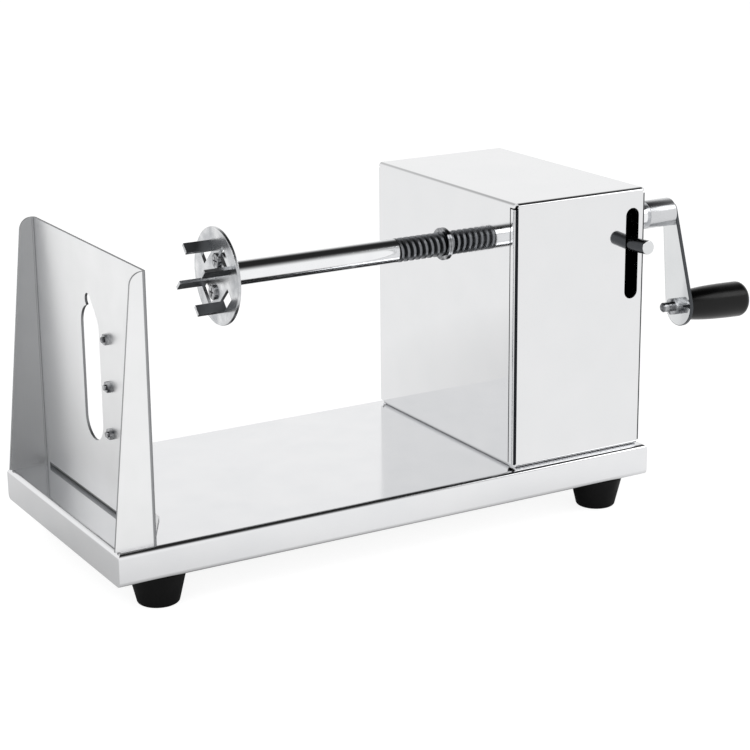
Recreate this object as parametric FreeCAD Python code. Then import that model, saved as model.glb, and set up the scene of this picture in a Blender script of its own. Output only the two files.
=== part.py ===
"""Hand cranked spiral potato cutter.

A folded stainless base on four rubber feet carries an end plate with a slicing blade and a
folded housing.  A lead screw spindle with a four-pronged fork runs through two guide bushes in
the housing.  A sprung half nut under the screw turns the cranking into feed, and pressing the
front pin down frees the spindle.

Millimetres.  While building, X runs along the spindle from the blade end of the base to the
crank, Y=0 is the spindle's upright plane (front is -Y) and Z=0 is the table.  Every solid is
moved at the end so that the origin is the centre of the whole part's footprint.
"""
import FreeCAD
import Part
import math
import os

V = FreeCAD.Vector

# ---------------------------------------------------------------- driving dimensions
BASE_L = 336.0            # base, along the spindle
BASE_W = 160.0            # base, front to back
SKIRT_H = 18.5            # depth of the folded base
PAN_T = 1.5               # base sheet
PAN_R = 3.0               # outer bend radius of the base
PAN_FLANGE = 33.0         # inward foot flange under the long skirts

FOOT_H = 18.5             # rubber foot below the skirts
FOOT_TOP_R = 15.6
FOOT_LOW_R = 11.2
FOOT_LEFT_IN = 28.5       # foot centre from the base's blade end
FOOT_RIGHT_IN = 24.5      # foot centre from the base's crank end
FOOT_INSET_Y = 17.0       # foot centre from the base's long edge
FOOT_HEAD_IN = 5.0        # seat of the foot screw's washer below the foot's top
FOOT_RECESS_R = 5.8       # recess under the foot for the screw's head

AXIS_H = 116.5            # spindle axis above the base's top
ROD_R = 7.0               # Tr14x4 screw and plain rod
PITCH = 4.0
THREAD_DEPTH = 2.25
THREAD_CREST = 1.46       # flat on the crest
THREAD_ROOT = 1.33        # flat at the root

PLATE_X = 22.5            # outer face of the end plate from the base's end
PLATE_RISE = 28.5         # end plate's top above the spindle axis
PLATE_T = 1.5
PLATE_R = 2.5
PLATE_INSET = 4.0         # end plate's side from the base's long edge
PLATE_FOOT = 16.0         # foot flange from the plate's inner face
PLATE_FOOT_Y = 70.0       # half its length at the bend
PLATE_TIP_Y = 42.0        # half its length at its free edge
PLATE_FOOT_RISE = 12.0    # height of plate that is drawn with the flange
GUSSET_TOP = 7.4          # width of the side gusset at its top corner
GUSSET_CORNER_R = 7.0

WINDOW_W = 24.0
WINDOW_LOW = 36.0         # above the base's top
WINDOW_DROP = 5.5         # its upper end below the spindle axis
WINDOW_Y = -1.0           # centre of the slot
CORE_HOLE_R = 3.7         # small hole beside the spindle axis
CORE_HOLE_Y = 0.4
CORE_HOLE_DROP = 2.8      # below the spindle axis

BLADE_T = 1.2
BLADE_STANDOFF = 3.0      # how far the cutting strip stands off the end plate
BLADE_EDGE_Y = -6.5
BLADE_BACK_Y = -33.0
BLADE_SCREW_Y = -25.0
BLADE_SCREW_Z = (46.0, 72.0, 98.0)
BLADE_SCREW_R = 1.5
BLADE_HEAD_R = 2.9
BLADE_HEAD_H = 2.1
BLADE_NUT_FLATS = 5.5
BLADE_NUT_H = 2.4
BLADE_SCREW_OUT = 1.3     # screw's end beyond its nut

BOX_X0 = 244.5            # housing's blade side
BOX_L = 89.5
BOX_W = 150.0
BOX_RISE = 36.5           # housing's top above the spindle axis
BOX_T = 1.2
BOX_R = 2.5
BOX_RETURN = 4.5          # narrow returns of the front and back walls
BOX_FLANGE = 14.0         # inward flanges of the long walls, on the base
BOX_END_FLANGE = 10.0     # inward flanges of the end walls
SEAM = 0.8                # open seams between folded walls

SLOT_X = 324.5            # lever slot and lever, along the spindle
SLOT_W = 9.0
SLOT_DROP = 27.5          # slot's lower end below the spindle axis
SLOT_RISE = 25.5          # slot's upper end above the spindle axis

BUSH_WALL = 1.1           # of the guide sleeves
BUSH_BORE_CLEAR = 0.2     # radial, spindle in bush
BUSH_L = 12.0             # left sleeve's reach inside the wall
BUSH_IN = 2.6             # right bush's reach inside the wall
BUSH_LIP = 1.2            # left bush's flange beyond its sleeve, and its thickness
BUSH_FLANGE = 3.0         # right bush's flange beyond its sleeve
BUSH_PLAY = 0.2           # end play of the left sleeve
RING_T = 1.2              # spring rings of the bushes
RING_GROOVE = 0.45        # depth of their grooves
RING_OUT = 2.2            # their reach beyond the sleeve
RING_GAP = 3.0            # opening of a ring
BUSH_TURN_CLEAR = 0.08    # radial, free sleeve in the housing wall

FORK_X = 98.0             # blade side face of the fork disc
FORK_R = 27.5
FORK_T = 2.0
FORK_TURN = 47.0          # turn of the prong pattern about the spindle, degrees
PRONG_L = 15.5
PRONG_W = 6.2
PRONG_IN_R = 13.0         # inner edge of a prong from the spindle axis
PRONG_T = 2.0
PRONG_HOLE_L = 14.5       # the tab that was folded out
HUB_WALL = 1.5            # flange round the rod
HUB_EAR_R = 4.6           # its ears round the fork screws
HUB_T = 3.0
FORK_SCREW_OUT = 2.8      # axes of the fork screws beyond the rod's surface
FORK_SCREW_TURN = 106.5
FORK_HEAD_R = 4.4
FORK_HEAD_H = 1.6

THREAD_X0 = 211.5         # start of the thread
THREAD_L = 172.0          # its length, taken down to whole turns

CRANK_X = 409.5           # inner face of the crank arm
CRANK_T = 2.5
CRANK_L = 58.8            # spindle axis to grip axis
CRANK_TURN = 14.8         # from hanging straight down, towards the front
CRANK_LEAN = 2.3          # arm's small lean towards the housing
CRANK_END_R = 12.5
CRANK_HUB_R = 6.0         # arm's end round the rod
BOSS_WALL = 1.7           # sleeve on the rod's end
BOSS_L = 20.0
SPIGOT_R = 3.5            # rod's end in the crank arm

GRIP_BOLT_R = 3.0
GRIP_BOLT_OUT = 7.2       # bolt's reach beyond its lock nut
GRIP_NUT_H = 5.0
GRIP_L = 47.0
GRIP_NECK_R = 8.8
GRIP_R = 11.1
GRIP_GAP = 0.3            # end play of the grip, each side
GRIP_BORE_CLEAR = 0.08
GRIP_HEAD_IN = 12.0       # bolt head's seat from the grip's end
GRIP_CAP_R = 7.2
WASHER_T = 1.2

NUT_L = 20.0              # half nut, along the spindle
NUT_W = 26.0
NUT_CLEAR = 0.25          # running clearance of the half nut's thread
NUT_SCREW_L = 9.0         # length of its screws inside the nut
NUT_SCREW_Y = 7.0         # the screws from the spindle's plane

LEVER_T = 4.0
LEVER_H = 14.0            # depth of the lever bar
LEVER_DIP = 5.0           # lever's clearance under the sleeves
LEVER_FRONT_IN = 12.0     # lever's front end from the housing's front
PIVOT_Y = 50.0
PIVOT_DROP = 3.0          # pivot below the spindle axis
PIVOT_R = 4.0
PIVOT_CLEAR = 0.05
PIVOT_END_PLAY = 0.3      # lever's side play on the pivot, each side
PIN_R = 4.0               # release pin through the slot
PIN_RISE = 4.5            # pin above the spindle axis at the front wall
PIN_TILT = 3.3            # degrees, rising to the front
PIN_OUT = 15.5            # pin's reach beyond the front wall

BRACKET_T = 3.0
BRACKET_FOOT = 24.0
BRACKET_Y0 = 24.0         # bracket's width, front and back edges
BRACKET_Y1 = 60.0
BRACKET_RISE = 10.0       # ear's top above the pivot
BRACKET_LOW = 40.0        # height above the base where its front edge starts to slope

SPRING_Y = -30.0          # spring's place along the lever
SPRING_R = 3.5            # mean coil radius
SPRING_WIRE_R = 0.45
SPRING_PITCH = 1.4
SPRING_LEG = 1.2          # straight wire between coil and end loop
SPRING_HOLE_IN = 3.0      # spring holes from the edges of lever and hanger
SPRING_HOLE_R = 1.6
HANGER_T = 1.5
HANGER_LOW = 9.5          # hanger's lower edge below the housing's top
HANGER_L = 16.0           # its welded leg
HANGER_HALF = 6.0         # half its width

GAP = 0.05                # seat of a screw in its hole, radial
SEW = 1e-4                # joins the thread's faces

# ---------------------------------------------------------------- worked out
TOP = FOOT_H + SKIRT_H                    # base's top face
AXIS_Z = TOP + AXIS_H
HALF_W = BASE_W / 2
PLATE_H = AXIS_H + PLATE_RISE             # heights above the base's top
WINDOW_HIGH = AXIS_H - WINDOW_DROP
CORE_HOLE_Z = AXIS_H - CORE_HOLE_DROP
BOX_H = AXIS_H + BOX_RISE
SLOT_LOW = AXIS_H - SLOT_DROP
SLOT_HIGH = AXIS_H + SLOT_RISE
BOX_X1 = BOX_X0 + BOX_L
BOX_Y = BOX_W / 2
BOX_TOP = TOP + BOX_H
PLATE_IN = PLATE_X + PLATE_T              # end plate's inner face
PLATE_Y = HALF_W - PLATE_INSET
WALL_L = BOX_X0 + BOX_T                   # inner faces of the housing's end walls
WALL_R = BOX_X1 - BOX_T
HUB_X = FORK_X + FORK_T
LEVER_X0 = SLOT_X - LEVER_T / 2
LEVER_X1 = SLOT_X + LEVER_T / 2
NUT_X0 = LEVER_X0 - NUT_L
PIVOT_Z = AXIS_Z - PIVOT_DROP
THREAD_TURNS = int(THREAD_L / PITCH)
BUSH_R = ROD_R + BUSH_BORE_CLEAR + BUSH_WALL
HUB_R = ROD_R + HUB_WALL
BOSS_R = ROD_R + BOSS_WALL
FORK_SCREW_R = ROD_R + FORK_SCREW_OUT
FLANGE_Z = FOOT_H + PAN_T                 # upper face of the foot flange

# ---------------------------------------------------------------- small tools


def block(x0, x1, y0, y1, z0, z1):
    """A box between two corners."""
    return Part.makeBox(x1 - x0, y1 - y0, z1 - z0, V(x0, y0, z0))


def rod_x(x0, x1, y, z, r):
    """A cylinder along X."""
    return Part.makeCylinder(r, x1 - x0, V(x0, y, z), V(1, 0, 0))


def rod_z(x, y, z0, z1, r):
    """A cylinder along Z."""
    return Part.makeCylinder(r, z1 - z0, V(x, y, z0), V(0, 0, 1))


def rounded_wire(corners, place):
    """A closed wire through corners (a, b, radius); place maps (a, b) to a point in space."""
    count = len(corners)
    ends = []
    for i, (a, b, r) in enumerate(corners):
        here = V(a, b, 0)
        back = V(*corners[i - 1][:2], 0) - here
        ahead = V(*corners[(i + 1) % count][:2], 0) - here
        back.normalize()
        ahead.normalize()
        half = back.getAngle(ahead) / 2
        reach = r / math.tan(half) if r > 0 else 0.0
        middle = here
        if r > 0:
            inward = back + ahead
            inward.normalize()
            middle = here + inward * (r / math.sin(half) - r)
        ends.append((here + back * reach, middle, here + ahead * reach, r))
    edges = []
    for i, (start, middle, end, r) in enumerate(ends):
        if r > 0:
            arc = Part.Arc(place(start.x, start.y), place(middle.x, middle.y), place(end.x, end.y))
            edges.append(arc.toShape())
        follow = ends[(i + 1) % count][0]
        if end.distanceToPoint(follow) > 1e-6:
            line = Part.LineSegment(place(end.x, end.y), place(follow.x, follow.y))
            edges.append(line.toShape())
    return Part.Wire(edges)


def prism_x(corners, x0, x1):
    """A (y, z) outline carried along X."""
    wire = rounded_wire(corners, lambda a, b: V(x0, a, b))
    return Part.Face(wire).extrude(V(x1 - x0, 0, 0))


def prism_y(corners, y0, y1):
    """An (x, z) outline carried along Y."""
    wire = rounded_wire(corners, lambda a, b: V(a, y0, b))
    return Part.Face(wire).extrude(V(0, y1 - y0, 0))


def prism_z(corners, z0, z1):
    """An (x, y) outline carried along Z."""
    wire = rounded_wire(corners, lambda a, b: V(a, b, z0))
    return Part.Face(wire).extrude(V(0, 0, z1 - z0))


def strip(points, t, r, inward):
    """Outline of a folded strip: outer points, sheet t, outer bend radius r.

    inward is +1 when the sheet lies to the left of the path and -1 when it lies to the right.
    """
    count = len(points)
    paths = [V(*p, 0) for p in points]
    runs = [(paths[i + 1] - paths[i]).normalize() for i in range(count - 1)]
    sides = [V(-run.y, run.x, 0) * inward for run in runs]
    outer = []
    inner = []
    for i, p in enumerate(paths):
        if i in (0, count - 1):
            side = sides[0] if i == 0 else sides[-1]
            outer.append((p.x, p.y, 0.0))
            q = p + side * t
            inner.append((q.x, q.y, 0.0))
            continue
        turn = (runs[i - 1].x * runs[i].y - runs[i - 1].y * runs[i].x) * inward
        both = sides[i - 1] + sides[i]
        q = p + both * (t / (1 + sides[i - 1].dot(sides[i])))
        outer.append((p.x, p.y, r if turn > 0 else r - t))
        inner.append((q.x, q.y, r - t if turn > 0 else r))
    return outer + inner[::-1]


def ring_x(x0, x1, y, z, r_out, r_in):
    """A tube along X."""
    return rod_x(x0, x1, y, z, r_out).cut(rod_x(x0 - 1, x1 + 1, y, z, r_in))


def link_x(x0, x1, r_top, z_top, r_low, z_low):
    """A flat link over Y=0: two round ends and the straight sides that touch both."""
    lean = math.asin((r_low - r_top) / (z_top - z_low))
    sides = []
    for r, z in ((r_top, z_top), (r_low, z_low)):
        sides.append((r * math.cos(lean), z + r * math.sin(lean)))
    outline = [(-sides[0][0], sides[0][1], 0.0), (sides[0][0], sides[0][1], 0.0),
               (sides[1][0], sides[1][1], 0.0), (-sides[1][0], sides[1][1], 0.0)]
    ends = [rod_x(x0, x1, 0, z_top, r_top), rod_x(x0, x1, 0, z_low, r_low)]
    return prism_x(outline, x0, x1).fuse(ends)


def hexagon_x(x0, x1, y, z, flats, hole_r):
    """A hexagonal nut along X with chamfered corners and a plain hole."""
    corner = flats / math.sqrt(3)
    points = []
    for k in range(6):
        a = math.radians(60 * k)
        points.append((y + corner * math.cos(a), z + corner * math.sin(a), 0.0))
    nut = prism_x(points, x0, x1)
    height = x1 - x0
    cone = Part.makeCone(corner + height * 1.2, corner * 0.93, height * 1.001, V(x0, y, z), V(1, 0, 0))
    other = Part.makeCone(corner * 0.93, corner + height * 1.2, height * 1.001, V(x0, y, z), V(1, 0, 0))
    return nut.common(cone).common(other).cut(rod_x(x0 - 1, x1 + 1, y, z, hole_r))


def pan_screw(base, direction, shank_r, shank_l, head_r, head_h):
    """A pan head screw: the head's seat at base, the shank along direction."""
    shank = Part.makeCylinder(shank_r, shank_l, base, direction)
    back = V(direction) * -1
    head = Part.makeCylinder(head_r, head_h, base, back)
    rim = [e for e in head.Edges if abs((e.CenterOfMass - base).dot(back) - head_h) < 1e-6]
    head = head.makeFillet(head_h * 0.45, rim)
    recess = block(-0.45, 0.45, -head_r * 0.55, head_r * 0.55, -1.2, 0.01)
    recess = recess.fuse(block(-head_r * 0.55, head_r * 0.55, -0.45, 0.45, -1.2, 0.01))
    spin = FreeCAD.Rotation(V(0, 0, 1), back)
    recess.Placement = FreeCAD.Placement(base + back * head_h, spin)
    return head.fuse(shank).cut(recess)


def hex_nut(seat, direction, flats, height, hole_r):
    """A hexagonal nut that seats at a point and rises along direction."""
    nut = hexagon_x(0, height, 0, 0, flats, hole_r)
    nut.Placement = FreeCAD.Placement(seat, FreeCAD.Rotation(V(1, 0, 0), direction))
    return nut


# ---------------------------------------------------------------- folded sheet


def folded_walls(x0, x1, half_y, z0, z1, t, r, flange, seam):
    """Top, front and back walls in one fold, and the two end walls, open underneath.

    Returns the long fold and the end fold as two shapes that meet at the top's bend lines.
    """
    path = [(-half_y + flange, z0), (-half_y, z0), (-half_y, z1), (half_y, z1), (half_y, z0),
            (half_y - flange, z0)]
    long_fold = prism_x(strip(path, t, r, -1), x0, x1)
    for xa, xb in ((x0 - 1, x0 + r), (x1 - r, x1 + 1)):
        long_fold = long_fold.cut(block(xa, xb, -half_y - 1, half_y + 1, z1 - r, z1 + 1))
    end_path = [(x0, z0), (x0, z1), (x1, z1), (x1, z0)]
    end_fold = prism_y(strip(end_path, t, r, -1), -half_y + t + seam, half_y - t - seam)
    end_fold = end_fold.cut(block(x0 + r, x1 - r, -half_y - 1, half_y + 1, z1 - r, z1 + 1))
    return long_fold, end_fold


def foot_places():
    """Centres of the four feet, named by corner."""
    left = FOOT_LEFT_IN
    right = BASE_L - FOOT_RIGHT_IN
    near = -HALF_W + FOOT_INSET_Y
    return {"front_left": (left, near), "front_right": (right, near),
            "back_left": (left, -near), "back_right": (right, -near)}


def plate_screw_places():
    """Screws that hold the end plate's foot flange."""
    x = PLATE_IN + PLATE_FOOT / 2
    return [(x, -30.0), (x, 30.0)]


def cover_screw_places():
    """Screws that hold the housing's inward flanges."""
    y = BOX_Y - BOX_FLANGE / 2 - 1
    return [(BOX_X0 + 22, -y), (BOX_X1 - 40, -y), (BOX_X0 + 22, y), (BOX_X1 - 40, y)]


def bracket_ear_x():
    """The bracket's ear beside the lever, inner and outer face."""
    face = LEVER_X0 - PIVOT_END_PLAY
    return face - BRACKET_T, face


def bracket_screw_places():
    """Screws that hold the lever bracket's foot."""
    x = bracket_ear_x()[0] - BRACKET_FOOT / 2
    return [(x, BRACKET_Y0 + 8.0), (x, BRACKET_Y1 - 8.0)]


def rounded_box(x0, x1, half_y, z0, z1, r):
    """A box with sharp upright edges, round top edges and round bottom edges along X."""
    box = block(x0, x1, -half_y, half_y, z0, z1)
    round_edges = []
    for edge in box.Edges:
        middle = edge.CenterOfMass
        along = abs(middle.x - (x0 + x1) / 2) < 1e-6
        if along or middle.z > z1 - 1e-6:
            round_edges.append(edge)
    return box.makeFillet(r, round_edges)


def make_base_pan():
    """Folded base with welded top corners, foot flanges and screw holes."""
    inner_y = HALF_W - PAN_T
    shell = rounded_box(0, BASE_L, HALF_W, FOOT_H, TOP, PAN_R)
    room = rounded_box(PAN_T, BASE_L - PAN_T, inner_y, FLANGE_Z, TOP - PAN_T, PAN_R - PAN_T)
    mouth = HALF_W - PAN_FLANGE
    pan = shell.cut(room).cut(block(PAN_T, BASE_L - PAN_T, -mouth, mouth, FOOT_H - 1, FLANGE_Z + 1))
    bend_y = HALF_W - PAN_R
    for x in (PAN_T, BASE_L - PAN_T - SEAM):
        pan = pan.cut(block(x, x + SEAM, -bend_y, bend_y, FOOT_H - 1, FLANGE_Z + 1))
    for x, y in foot_places().values():
        pan = pan.cut(rod_z(x, y, FOOT_H - 1, FLANGE_Z + 1, 2.5 + GAP))
    for x, y in plate_screw_places() + cover_screw_places() + bracket_screw_places():
        pan = pan.cut(rod_z(x, y, TOP - PAN_T - 1, TOP + 1, 2.0 + GAP))
    return pan


def make_feet():
    """Tapered rubber feet with a stepped hole for the screw, one named solid each."""
    feet = {}
    for name, (x, y) in foot_places().items():
        foot = Part.makeCone(FOOT_LOW_R, FOOT_TOP_R, FOOT_H, V(x, y, 0), V(0, 0, 1))
        rim = [e for e in foot.Edges if abs(e.CenterOfMass.z) < 1e-6 and e.Length < 7 * FOOT_LOW_R]
        foot = foot.makeFillet(1.2, rim)
        foot = foot.cut(rod_z(x, y, -1, FOOT_H - FOOT_HEAD_IN, FOOT_RECESS_R))
        foot = foot.cut(rod_z(x, y, -1, FOOT_H + 1, 2.5 + GAP))
        feet["foot_" + name] = foot
    return feet


def make_foot_fasteners():
    """Screw, washer and nut of each foot, grouped by kind."""
    screws = []
    washers = []
    nuts = []
    washer_t = 1.0
    for x, y in foot_places().values():
        seat = FOOT_H - FOOT_HEAD_IN
        washers.append(rod_z(x, y, seat - washer_t, seat, 5.5).cut(rod_z(x, y, 0, TOP, 2.5 + GAP)))
        length = FLANGE_Z - seat + washer_t + 4.0 + 1.0
        screws.append(pan_screw(V(x, y, seat - washer_t), V(0, 0, 1), 2.5, length, 4.75, 2.8))
        nuts.append(hex_nut(V(x, y, FLANGE_Z), V(0, 0, 1), 8.0, 4.0, 2.5 + GAP))
    return screws, washers, nuts


def window_shape(x0, x1):
    """The slot in the end plate with the small core hole that it runs into."""
    r = WINDOW_W / 2
    low = V(0, WINDOW_Y, TOP + WINDOW_LOW + r)
    high = V(0, WINDOW_Y, TOP + WINDOW_HIGH - r)
    core = V(0, CORE_HOLE_Y, TOP + CORE_HOLE_Z)
    slot = block(x0, x1, low.y - r, low.y + r, low.z, high.z)
    for end in (low, high):
        slot = slot.fuse(rod_x(x0, x1, end.y, end.z, r))
    slot = slot.fuse(rod_x(x0, x1, core.y, core.z, CORE_HOLE_R))
    line = core - high
    lean = math.atan2(line.z, line.y) + math.acos((r - CORE_HOLE_R) / line.Length)
    out = V(0, math.cos(lean), math.sin(lean))
    touch_a = high + out * r
    touch_b = core + out * CORE_HOLE_R
    wedge = [(high.y, high.z, 0.0), (touch_a.y, touch_a.z, 0.0), (touch_b.y, touch_b.z, 0.0),
             (core.y, core.z, 0.0)]
    return slot.fuse(prism_x(wedge, x0, x1)).removeSplitter()


def make_blade_plate():
    """End plate with two tapered side gussets, the slicing window and a screwed foot flange."""
    path = [(0, -PLATE_Y), (PLATE_IN, -PLATE_Y), (PLATE_IN, PLATE_Y), (0, PLATE_Y)]
    plate = prism_z(strip(path, PLATE_T, PLATE_R, 1), TOP, TOP + PLATE_H)
    top_x = PLATE_X - GUSSET_TOP
    side = [(0, TOP, 0.0), (PLATE_IN + 1, TOP, 0.0), (PLATE_IN + 1, TOP + PLATE_H, 0.0),
            (top_x, TOP + PLATE_H, GUSSET_CORNER_R)]
    plate = plate.common(prism_y(side, -HALF_W, HALF_W))
    rise = TOP + PLATE_FOOT_RISE
    foot = strip([(PLATE_X, rise), (PLATE_X, TOP), (PLATE_IN + PLATE_FOOT, TOP)], PLATE_T, PLATE_R, 1)
    tongue = prism_y(foot, -PLATE_FOOT_Y, PLATE_FOOT_Y)
    bend_x = PLATE_X + PLATE_R
    tip_x = PLATE_IN + PLATE_FOOT
    trim = [(PLATE_X - 1, -PLATE_FOOT_Y, 0.0), (bend_x, -PLATE_FOOT_Y, 0.0), (tip_x, -PLATE_TIP_Y, 0.0),
            (tip_x, PLATE_TIP_Y, 0.0), (bend_x, PLATE_FOOT_Y, 0.0), (PLATE_X - 1, PLATE_FOOT_Y, 0.0)]
    tongue = tongue.common(prism_z(trim, TOP - 1, rise + 1))
    room = block(PLATE_X - 0.01, PLATE_IN + 1, -PLATE_FOOT_Y, PLATE_FOOT_Y, TOP - 1, rise)
    plate = plate.cut(room).fuse(tongue)
    plate = plate.removeSplitter().cut(window_shape(PLATE_X - 1, PLATE_IN + 1))
    for z in BLADE_SCREW_Z:
        plate = plate.cut(rod_x(PLATE_X - 1, PLATE_IN + 1, BLADE_SCREW_Y, TOP + z, BLADE_SCREW_R + GAP))
    for x, y in plate_screw_places():
        plate = plate.cut(rod_z(x, y, TOP - 1, TOP + PLATE_T + 1, 2.0 + GAP))
    return plate


def make_blade():
    """Joggled slicing blade: a strip on the plate, a step, and a ground cutting strip."""
    near = PLATE_IN
    far = PLATE_IN + BLADE_STANDOFF
    step_y = BLADE_SCREW_Y + 7.0
    grind = 3.0
    section = [(near, BLADE_BACK_Y, 0.0), (near, step_y, 0.0), (far, step_y + 3.0, 0.0),
               (far, BLADE_EDGE_Y, 0.0), (far + BLADE_T, BLADE_EDGE_Y - grind, 0.0),
               (far + BLADE_T, step_y + 2.5, 0.0), (near + BLADE_T, step_y - 0.5, 0.0),
               (near + BLADE_T, BLADE_BACK_Y, 0.0)]
    blade = prism_z(section, TOP + WINDOW_LOW - 3, TOP + AXIS_H + 3)
    tip = prism_z([(far, BLADE_EDGE_Y - 4, 0.0), (far, 1.0, 0.0), (far + BLADE_T, 1.0, 0.0),
                   (far + BLADE_T, BLADE_EDGE_Y - 4, 0.0)], TOP + AXIS_H - 18, TOP + AXIS_H + 3)
    blade = blade.fuse(tip).removeSplitter()
    outline = [(BLADE_BACK_Y, TOP + WINDOW_LOW - 3, 3.0), (BLADE_EDGE_Y, TOP + WINDOW_LOW - 3, 0.0),
               (BLADE_EDGE_Y, TOP + AXIS_H - 17, 12.0), (1.0, TOP + AXIS_H - 2, 0.0),
               (1.0, TOP + AXIS_H + 3, 2.0), (-18.0, TOP + AXIS_H + 3, 6.0),
               (BLADE_BACK_Y, TOP + AXIS_H - 10, 3.0)]
    blade = blade.common(prism_x(outline, near - 1, far + BLADE_T + 1))
    for z in BLADE_SCREW_Z:
        blade = blade.cut(rod_x(near - 1, far + BLADE_T + 1, BLADE_SCREW_Y, TOP + z, BLADE_SCREW_R + GAP))
    return blade


def make_blade_fasteners():
    """Three screws through blade and plate, with nuts on the open side."""
    seat = PLATE_IN + BLADE_T
    length = seat - PLATE_X + BLADE_NUT_H + BLADE_SCREW_OUT
    outward = V(-1, 0, 0)
    screws = []
    nuts = []
    for z in BLADE_SCREW_Z:
        head = V(seat, BLADE_SCREW_Y, TOP + z)
        screws.append(pan_screw(head, outward, BLADE_SCREW_R, length, BLADE_HEAD_R, BLADE_HEAD_H))
        nut = V(PLATE_X, BLADE_SCREW_Y, TOP + z)
        nuts.append(hex_nut(nut, outward, BLADE_NUT_FLATS, BLADE_NUT_H, BLADE_SCREW_R + GAP))
    return screws, nuts


def make_deck_fasteners(places, sheet_t):
    """M4 screws from under the base through a flange, with nuts inside."""
    under = TOP - PAN_T
    nut_h = 3.2
    length = PAN_T + sheet_t + nut_h + 1.0
    screws = []
    nuts = []
    for x, y in places:
        screws.append(pan_screw(V(x, y, under), V(0, 0, 1), 2.0, length, 3.8, 2.4))
        nuts.append(hex_nut(V(x, y, TOP + sheet_t), V(0, 0, 1), 7.0, nut_h, 2.0 + GAP))
    return screws, nuts


def make_housing_cover():
    """Folded housing: five walls, narrow corner returns, flanges, the slot and two bush holes."""
    long_fold, end_fold = folded_walls(BOX_X0, BOX_X1, BOX_Y, TOP, BOX_TOP, BOX_T, BOX_R, BOX_FLANGE, SEAM)
    # front and back walls stop at the vertical bends
    for xa, xb in ((BOX_X0 - 1, BOX_X0 + BOX_R), (BOX_X1 - BOX_R, BOX_X1 + 1)):
        long_fold = long_fold.cut(block(xa, xb, -BOX_Y - 1, BOX_Y + 1, TOP - 1, BOX_TOP + 1))
    inner = BOX_Y - BOX_RETURN - SEAM
    # an open seam at the front corners, a closed one at the back
    for ya, yb in ((-BOX_Y - 1, -inner), (BOX_Y - BOX_RETURN, BOX_Y + 1)):
        end_fold = end_fold.cut(block(BOX_X0 - 1, BOX_X1 + 1, ya, yb, TOP - 1, BOX_TOP - BOX_R))
    cover = long_fold.fuse(end_fold)
    # the returns
    for x, into in ((BOX_X0, 1), (BOX_X1, -1)):
        for sy in (-1, 1):
            path = [(x + into * (BOX_R + 0.5), sy * BOX_Y), (x, sy * BOX_Y), (x, sy * (BOX_Y - BOX_RETURN))]
            corner = prism_z(strip(path, BOX_T, BOX_R, into * sy), TOP + BOX_R, BOX_TOP - BOX_R - SEAM)
            cover = cover.fuse(corner)
    # end walls get their own inward flanges, mitred against the long ones
    for x, into in ((BOX_X0, 1), (BOX_X1, -1)):
        path = [(x, TOP + BOX_R + 1), (x, TOP), (x + into * BOX_END_FLANGE, TOP)]
        flange = prism_y(strip(path, BOX_T, BOX_R, into), -inner, inner)
        keep = block(x - 1 if into > 0 else x - BOX_R, x + BOX_R if into > 0 else x + 1,
                     -inner - 1, inner + 1, TOP - 1, TOP + BOX_R)
        cover = cover.cut(keep)
        shrink = BOX_Y - BOX_FLANGE - SEAM
        span = block(x - 20, x + 20, -shrink, shrink, TOP - 1, TOP + 5)
        near = block(x - BOX_R if into < 0 else x - 1, x + 1 if into < 0 else x + BOX_R,
                     -inner - 1, inner + 1, TOP - 1, TOP + 5)
        cover = cover.fuse(flange.common(span.fuse(near)))
    cover = cover.removeSplitter()
    slot_r = SLOT_W / 2
    low = TOP + SLOT_LOW + slot_r
    high = TOP + SLOT_HIGH - slot_r
    slot = block(SLOT_X - slot_r, SLOT_X + slot_r, -BOX_Y - 5, -BOX_Y + 5, low, high)
    for z in (low, high):
        slot = slot.fuse(Part.makeCylinder(slot_r, 10, V(SLOT_X, -BOX_Y - 5, z), V(0, 1, 0)))
    cover = cover.cut(slot)
    cover = cover.cut(rod_x(BOX_X0 - 1, WALL_L + 1, 0, AXIS_Z, BUSH_R + BUSH_TURN_CLEAR))
    cover = cover.cut(rod_x(WALL_R - 1, BOX_X1 + 1, 0, AXIS_Z, BUSH_R + GAP))
    for x, y in cover_screw_places():
        cover = cover.cut(rod_z(x, y, TOP - 1, TOP + BOX_T + 1, 2.0 + GAP))
    return cover


# ---------------------------------------------------------------- spindle


def helix_turn(x, radius):
    """One right-hand turn of a helix about the spindle axis, starting at x on the back side."""
    edge = Part.makeHelix(PITCH, PITCH, radius).Edges[0]
    turn = FreeCAD.Rotation(V(0, 1, 0), V(0, 0, 1), V(1, 0, 0), "ZXY")
    edge.Placement = FreeCAD.Placement(V(x, 0, AXIS_Z), turn)
    return edge


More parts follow.
